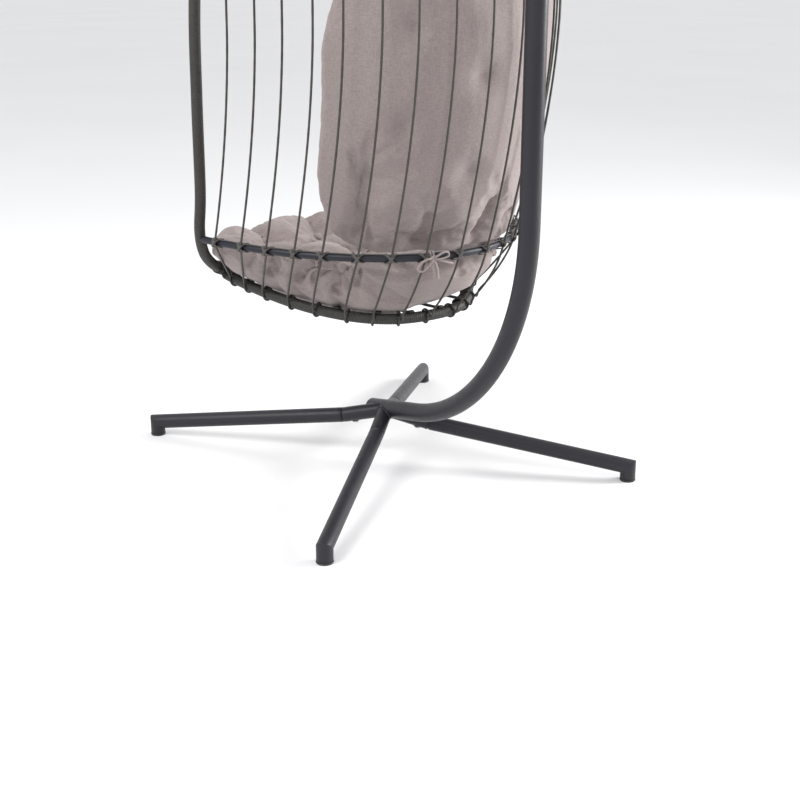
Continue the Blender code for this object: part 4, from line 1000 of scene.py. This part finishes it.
def bowl_outline(h, inset):
    """Closed outline of the seat pad at one level."""
    half = [side_point(k, h, inset) for k in range(9)]
    side, front = half[-1][0], front_fill(h)
    if h > .42:
        # the front corner fills out to the hoop
        zs, clear = [.39, .412, .442, .475, .52], .018
        x = np.interp(h, zs, [.21, .27, .313, .34, .353]) - clear - inset
        half.append(np.array((x, np.interp(h, zs, [-.262, -.212, -.166, -.132, -.112]) - .002, h)))
    else:
        half.append(np.array((.92 * side, -.2 - .022 * front, h)))
    for share, drop in ((.72, .085), (.4, .132), (0.0, .15)):
        half.append(np.array((share * side, -.2 - drop * front, h)))
    out = even(catmull(half + [p * MIRROR for p in half[-2:0:-1]], 8, True), None, True, count=132)
    out[:, 2] = level_z(out[:, 1], h)
    return out


def raised(row, h):
    """The rim's own heights: a lobe at each front corner, a higher front edge; the rear underside drawn in."""
    row = row.copy()
    x, y = np.abs(row[:, 0]), row[:, 1]
    hill = lambda at_x, wide_x, at_y, wide_y: np.exp(-((x - at_x) / wide_x) ** 2 - ((y - at_y) / wide_y) ** 2)
    up = np.clip((h - .44) / .06, 0, 1)
    row[:, 2] += up * (.013 * hill(.255, .06, -.235, .085) + .012 * hill(0, .1, -.36, .06)
                       - .006 * hill(.15, .03, -.34, .04))
    rear = (np.clip((.08 - row[:, 0]) / .08, 0, 1) * np.clip((y - .02) / .08, 0, 1)
            * np.clip((.435 - h) / .06, 0, 1) * .075)
    to = (MIDDLE - row) * (1, 1, 0)
    return row + to / np.linalg.norm(to, axis=1)[:, None] * rear[:, None]


def keep_in_bowl(obj):
    """No padding pushes through the strands or the rings."""
    P = read(obj) - SHIFT
    grid, table = np.radians(np.arange(-180, 181, 2)), []
    for h, inset in SEAT_LIMITS:
        L = bowl_outline(h, inset) - MIDDLE
        a, r = np.arctan2(L[:, 1], L[:, 0]), np.hypot(L[:, 0], L[:, 1])
        order = np.argsort(a)
        table.append(np.interp(grid, a[order], r[order], period=TAU))
    table = np.array(table)
    Q = P - MIDDLE
    a, r = np.arctan2(Q[:, 1], Q[:, 0]), np.hypot(Q[:, 0], Q[:, 1])
    h = P[:, 2].copy()
    for _ in range(4):
        h = P[:, 2] - (level_z(P[:, 1], h) - h)
    g = np.clip((a + pi) / radians(2), 0, 179.999)
    row = np.interp(h, [level for level, _ in SEAT_LIMITS], np.arange(len(SEAT_LIMITS)))
    i, j = np.minimum(row.astype(int), len(SEAT_LIMITS) - 2), g.astype(int)
    fi, fj = row - i, g - j
    lim = ((table[i, j] * (1 - fi) + table[i + 1, j] * fi) * (1 - fj)
           + (table[i, j + 1] * (1 - fi) + table[i + 1, j + 1] * fi) * fj)
    P[:, :2] = MIDDLE[:2] + Q[:, :2] * np.where(r > lim, lim / np.maximum(r, 1e-6), 1.0)[:, None]
    set_coords(obj, P + SHIFT)


def seat_shape():
    dense = catmull([(h, inset, 0) for h, inset in SEAT_LEVELS], 2)
    rows = [raised(bowl_outline(h, inset), h) for h, inset, _ in dense]
    crest = rows[-1]
    for scale, drop in SEAT_HOLLOW:
        row = MIDDLE + (crest - MIDDLE) * (scale, scale, 1)
        row[:, 2] = CREST_Z + (crest[:, 2] - CREST_Z) * (.25 + .75 * scale) - drop
        rows.append(row)
    return loft(rows, MIDDLE + Z * .3325, MIDDLE + Z * (rows[-1][:, 2].mean() - .001))


def seat_seams():
    """Buttons, and seams and folds as (points, depth, width, stitched), in the order of the pad's two sides."""
    front, side, rear, mid = (.15, -.245, .455), (.175, -.125, .468), (.135, .04, .47), (.085, -.165, .462)
    centre = [(0, -.255, .452), (0, -.09, .462), (0, .07, .47)]
    on = (.175, -.125, .47)
    gather = side_point(3.6, .474, .004)
    seams = [([front, (.15, -.3, .472), (.15, -.335, .464), (.15, -.345, .44)], .015, .015),
             ([front, (.163, -.185, .464), on], .016, .016),
             ([on, (.225, -.095, .5), side_point(7.3, .495, .04), side_point(6.7, .47, .01)], .015, .013),
             ([on, (.16, -.04, .47), rear], .014, .016),
             ([rear, (.19, .075, .498), side_point(5.85, .494, .03), side_point(5.8, .468, .006),
               side_point(5.8, .44, .004)], .019, .013),
             ([rear, (.155, .11, .5), side_point(4.3, .494, .03), side_point(4.25, .48, .01)], .014, .012),
             ([mid, (.12, -.205, .458), front], .012, .015), ([mid, (.13, -.145, .464), side], .012, .015),
             ([mid, (.04, -.21, .456), centre[0]], .012, .015), ([mid, (.04, -.13, .46), centre[1]], .012, .015),
             ([centre[1], (.07, -.02, .466), rear], .012, .015)]
    # the cover is gathered to one stitch behind the corner: folds over the side, by strand number and height
    fans = [([(3.75, .478), (4.3, .478), (4.72, .462), (4.92, .44), (4.98, .418)], .019, .0105),
            ([(3.75, .474), (4.05, .462), (4.22, .446), (4.3, .43)], .015, .0085),
            ([(3.62, .466), (3.5, .45), (3.22, .434), (3.1, .426)], .013, .0075),
            ([(3.6, .462), (3.6, .44), (3.48, .418), (3.4, .408)], .015, .0085),
            ([(3.35, .482), (3.12, .474), (3.02, .452), (2.98, .434)], .015, .0095),
            ([(4.6, .47), (4.86, .446), (5.02, .42)], .008, .006),
            ([(5.78, .466), (5.95, .44), (6.04, .416)], .015, .01),
            ([(5.55, .455), (5.62, .435)], .009, .005), ([(6.7, .47), (6.95, .44)], .008, .007),
            ([(3.9, .42), (4.5, .405), (5.1, .412)], .006, .009)]
    seams = [(way, d, w, True) for way, d, w in seams]
    seams += [([side_point(k, h, .002) for k, h in way], d, w, d > .0145) for way, d, w in fans]
    tufts, folds = [], []
    for s in (1, -1):
        turn = lambda p: np.asarray(p) * (s, 1, 1)
        tufts += [(turn(p), d, w) for p, d, w in ((front, .022, .03), (side, .022, .03), (rear, .022, .03),
                                                  (mid, .02, .028), (gather, .02, .02))]
        folds += [([turn(p) for p in way], d, w, stitched) for way, d, w, stitched in seams]
    tufts += [(p, .022, .03) for p in centre]
    folds += [([centre[0], (0, -.31, .474), (0, -.345, .47), (0, -.356, .44)], .014, .015, True),
              ([centre[1], (0, -.01, .466), centre[2]], .012, .015, True)]
    return tufts, folds


def build_seat_cushion():
    obj = make("seat_pad", seat_shape(), CLOTH, "basket", "seat_cushion")
    start_cover(obj, VOXEL_SEAT)
    tufts, seams = seat_seams()
    tufts = [(np.asarray(p) + SHIFT, d, w) for p, d, w in tufts]
    folds, lines = [], []
    for way, depth, width, stitched in seams:
        Q = even(catmull([np.asarray(p) + SHIFT for p in way], 6), .004)
        folds.append((Q, depth, width))
        if stitched:
            lines.extend(Q[::3])
    on = nearest(obj)
    folds = [([on(p) for p in Q], d, w) for Q, d, w in folds]
    carve(obj, [(Q, d * .8, w * 1.7) for Q, d, w in folds])
    dimple(obj, tufts)
    on = nearest(obj)
    pins = [on(p) for p, d, w in tufts]
    inflate(obj, pins + [on(p) for p in lines], cap=.012, slack=.06)
    keep_in_bowl(obj)
    subdivide(obj)
    ripple(obj, 20, .0013, 3.0)
    on = nearest(obj)
    broad = .0115                          # wider folds are eased after carving, finer ones stay sharp
    carve(obj, [([on(p) for p in Q], min(d * .9, .0105), w * .52) for Q, d, w in folds if w > broad])
    relax(obj, 1)
    carve(obj, [([on(p) for p in Q], d * .85, w * .6) for Q, d, w in folds if w <= broad])
    ripple(obj, 75, .0005, 8.0)
    keep_in_bowl(obj)
    finish_cloth(obj, CLOTH)
    return obj, [p for p in pins if p[2] > .44 and abs(p[1] - SHIFT_Y) < .3 and abs(p[0]) < .19]


def shell_back_y(z):
    """How far back the strands stand on the centre line at a height."""
    P = strand_line(0)[13:]
    P = P[np.argsort(P[:, 2])]
    return np.interp(z, P[:, 2], P[:, 1])


def back_shape():
    """Two crowned sheets that meet at the edge of a tall superellipse, squarer below than above."""
    mid, tall = (BACK_Z0 + BACK_Z1) / 2, (BACK_Z1 - BACK_Z0) / 2

    def point(r, th, thick):
        c, s = cos(th), sin(th)
        bend = 2.5 if s > 0 else 4.2 if c > 0 else 6.0
        up = tall * copysign(abs(s) ** (2 / bend), s) * r
        x = BACK_HALF * copysign(abs(c) ** (2 / bend), c) * r
        x *= (1.0 + .04 * up / tall) * (1.0 if x > 0 else 1.06)
        y = shell_back_y(mid + up) - .078 - (1.9 if x > 0 else 1.45) * x * x
        return (x, y + thick * (1 - r ** 2.6) ** .62, mid + up)
    cols, rear, front = 88, .058, -.072
    rs = np.sin(np.linspace(0, pi / 2, 26))
    ring = lambda r, thick: [point(r, TAU * k / cols, thick) for k in range(cols)]
    rows = [ring(r, rear) for r in rs[1:]] + [ring(r, front) for r in rs[-2:0:-1]]
    V, F = loft(rows, point(0, 0, rear), point(0, 0, front))
    return V, [f[1:] + f[:1] for f in F]          # a quad's first corner says which diagonal splits it


def build_back_cushion():
    obj = make("back_pad", back_shape(), BACK_CLOTH_SHADED, "basket", "back_cushion")
    start_cover(obj, VOXEL_BACK)
    tree = surface(obj)

    def on(x, z, side):
        hit = tree.ray_cast(Vector((x, shell_back_y(z) + SHIFT_Y + side * .4 - .078, z)), Vector((0, -side, 0)))
        return None if hit[0] is None else np.array(hit[0])
    near_z = (.64, .73, .82, .91, 1.0)
    rows = [[on(x, z, -1) for x in ((-.145, 0, .145) if i % 2 == 0 else (-.075, .075))]
            for i, z in enumerate(near_z)]
    pins = [p for row in rows for p in row]
    tufts = [(p, .03, .032) for p in pins]
    creases = [(p, q, .012, .015) for a, b in zip(rows, rows[1:]) for p in a for q in b
               if np.linalg.norm(p - q) < .135]
    for p in rows[0] + rows[-1]:
        q = on(p[0] * .92, .535 if p[2] < .8 else 1.095, -1)
        if q is not None:
            creases.append((p, q, .011, .014))
    for x, z in ((0, .66), (0, .83), (0, 1.0), (.13, .745), (-.13, .745), (.12, .915), (-.12, .915)):
        tufts.append((on(x, z, 1), .016, .028))
    # folds low on the back where the pad slumps on the ring, and the pinch at the tie
    folds = [([(.16, .558), (.152, .541), (.139, .523)], .012, .007),
             ([(.176, .68), (.171, .62), (.167, .56), (.168, .525)], .016, .013),
             ([(-.1, .6), (-.09, .562), (-.082, .53), (-.078, .512)], .015, .012),
             ([(-.185, .56), (-.15, .535)], .01, .01), ([(.052, .51), (.05, .545), (.06, .585)], .012, .009),
             ([(.052, .514), (.085, .535), (.11, .542)], .008, .008),
             ([(.052, .514), (.02, .53), (-.01, .535)], .009, .009)]
    held, lines = [], []
    for way, depth, width in folds:
        Q = [q for q in (on(x, z, 1) for x, z in way) if q is not None]
        Q = even(catmull(Q, 6), .004)
        lines.append((Q, depth, width))
        held.extend(Q[::3])
    pinch = on(.052, .516, 1)
    tufts.append((pinch, .028, .02))
    held.append(pinch)
    lines += [(even([a, b], .004), d * .9, w * .8) for a, b, d, w in creases]
    carve(obj, [(Q, d * .8, w * 1.7) for Q, d, w in lines])
    dimple(obj, tufts)
    near = nearest(obj)
    pins = [near(p) for p in pins]
    inflate(obj, pins + [near(p) for p in held], cap=.01, slack=.05)
    subdivide(obj)
    ripple(obj, 22, .0014, 5.0)
    near = nearest(obj)
    carve(obj, [([near(p) for p in Q], min(d * .75, .0105), w * .6) for Q, d, w in lines])
    relax(obj, 1)
    ripple(obj, 70, .0005, 1.0)
    # inside the strands, and inside the ring's own outline down at the ring
    P = read(obj) - SHIFT
    f = 1 - (1 - np.clip((P[:, 2] - RING_Z) / (WIDE_Z - RING_Z), 0, 1)) ** SHELL_POWER
    A = RING_A + (WIDE_A - RING_A) * f - BACK_RING_IN
    B = RING_B + (WIDE_B - RING_B) * f - BACK_RING_IN
    yc = RING_YC + (WIDE_YC - RING_YC) * f
    q = np.maximum(np.sqrt((P[:, 0] / A) ** 2 + ((P[:, 1] - yc) / B) ** 2), 1)
    q = np.where(P[:, 2] > WIDE_Z, 1, q)
    P[:, 0] /= q
    P[:, 1] = yc + (P[:, 1] - yc) / q
    set_coords(obj, P + SHIFT)
    finish_cloth(obj, BACK_CLOTH_SHADED)
    return obj, pins


def build_buttons(*pads):
    """Cloth-covered buttons in the dimples; each pad is (object, places, the way its front faces)."""
    profile = softened([(0, .0052), (.004, .0049), (.0075, .0036), (.0094, .0014), (.0096, -.0012), (.007, -.004),
                        (0, -.0046)], .001)[::-1]
    parts = []
    for obj, places, up in pads:
        tree = surface(obj)
        for p in places:
            at, n, _, _ = tree.find_nearest(Vector(p))
            axis = (Vector(n) + Vector(up) * .8).normalized()
            parts.append(lathe(profile, np.array(at) - SHIFT, np.array(axis), 24))
    if parts:
        make("cushion_buttons", join(parts), CLOTH, "basket")


# ---------------------------------------------------------------- build
build_stand()
build_gear()
build_basket_frame()
build_strands()
build_twine()
build_straps()
build_tie()
seat, seat_pins = build_seat_cushion()
back, back_pins = build_back_cushion()
build_buttons((seat, seat_pins, Z), (back, back_pins, -Y))

# ---------------------------------------------------------------- floor, light, camera
FLOOR_HALF = 30
mesh = bpy.data.meshes.new("floor")
mesh.from_pydata([(x * FLOOR_HALF, y * FLOOR_HALF, 0) for x, y in ((-1, -1), (1, -1), (1, 1), (-1, 1))], [],
                 [(0, 1, 2, 3)])
floor = bpy.data.objects.new("floor", mesh)
bpy.context.scene.collection.objects.link(floor)
paint = Mat("floor_paint", .9, Specular_IOR_Level=.1)
paint.colour(paint.ramp(paint.noise(.7, 2), (.3, (.8, .8, .805, 1)), (.7, (.82, .82, .82, 1))))
mesh.materials.append(paint.m)

world = bpy.data.worlds.new("studio")
bpy.context.scene.world = world
world.use_nodes = True
sky = world.node_tree.nodes["Background"].inputs
sky[0].default_value, sky[1].default_value = (.98, .985, 1.0, 1), .95
bpy.context.scene.view_settings.view_transform = "Standard"


def light(name, where, target, size, power):
    data = bpy.data.lights.new(name, "AREA")
    data.shape = "DISK"
    data.size = size
    data.energy = power
    obj = bpy.data.objects.new(name, data)
    obj.location = where
    obj.rotation_euler = (Vector(target) - Vector(where)).to_track_quat("-Z", "Y").to_euler()
    bpy.context.scene.collection.objects.link(obj)


light("key", (3.2, .4, 3.4), (0, 0, .5), 2.4, 120)
light("rim", (-3.0, 1.5, 1.5), (0, .3, .6), 1.5, 150)

CAMERA_AT, CAMERA_AZ, CAMERA_EL, LENS = (1.36839, 2.23704 + SHIFT_Y, 1.03612), 147.697, 19.086, 58.08
cam = bpy.data.cameras.new("camera")
cam.sensor_width = 36
cam.lens = LENS
cam.clip_end = 60
camera = bpy.data.objects.new("camera", cam)
bpy.context.scene.collection.objects.link(camera)
az, el = radians(CAMERA_AZ), radians(CAMERA_EL)
backward = Vector((sin(az) * cos(el), -cos(az) * cos(el), sin(el)))
right = (-backward).cross(Vector((0, 0, 1))).normalized()
place = Matrix((right, right.cross(-backward), backward)).transposed().to_4x4()
place.translation = Vector(CAMERA_AT)
camera.matrix_world = place
bpy.context.scene.camera = camera
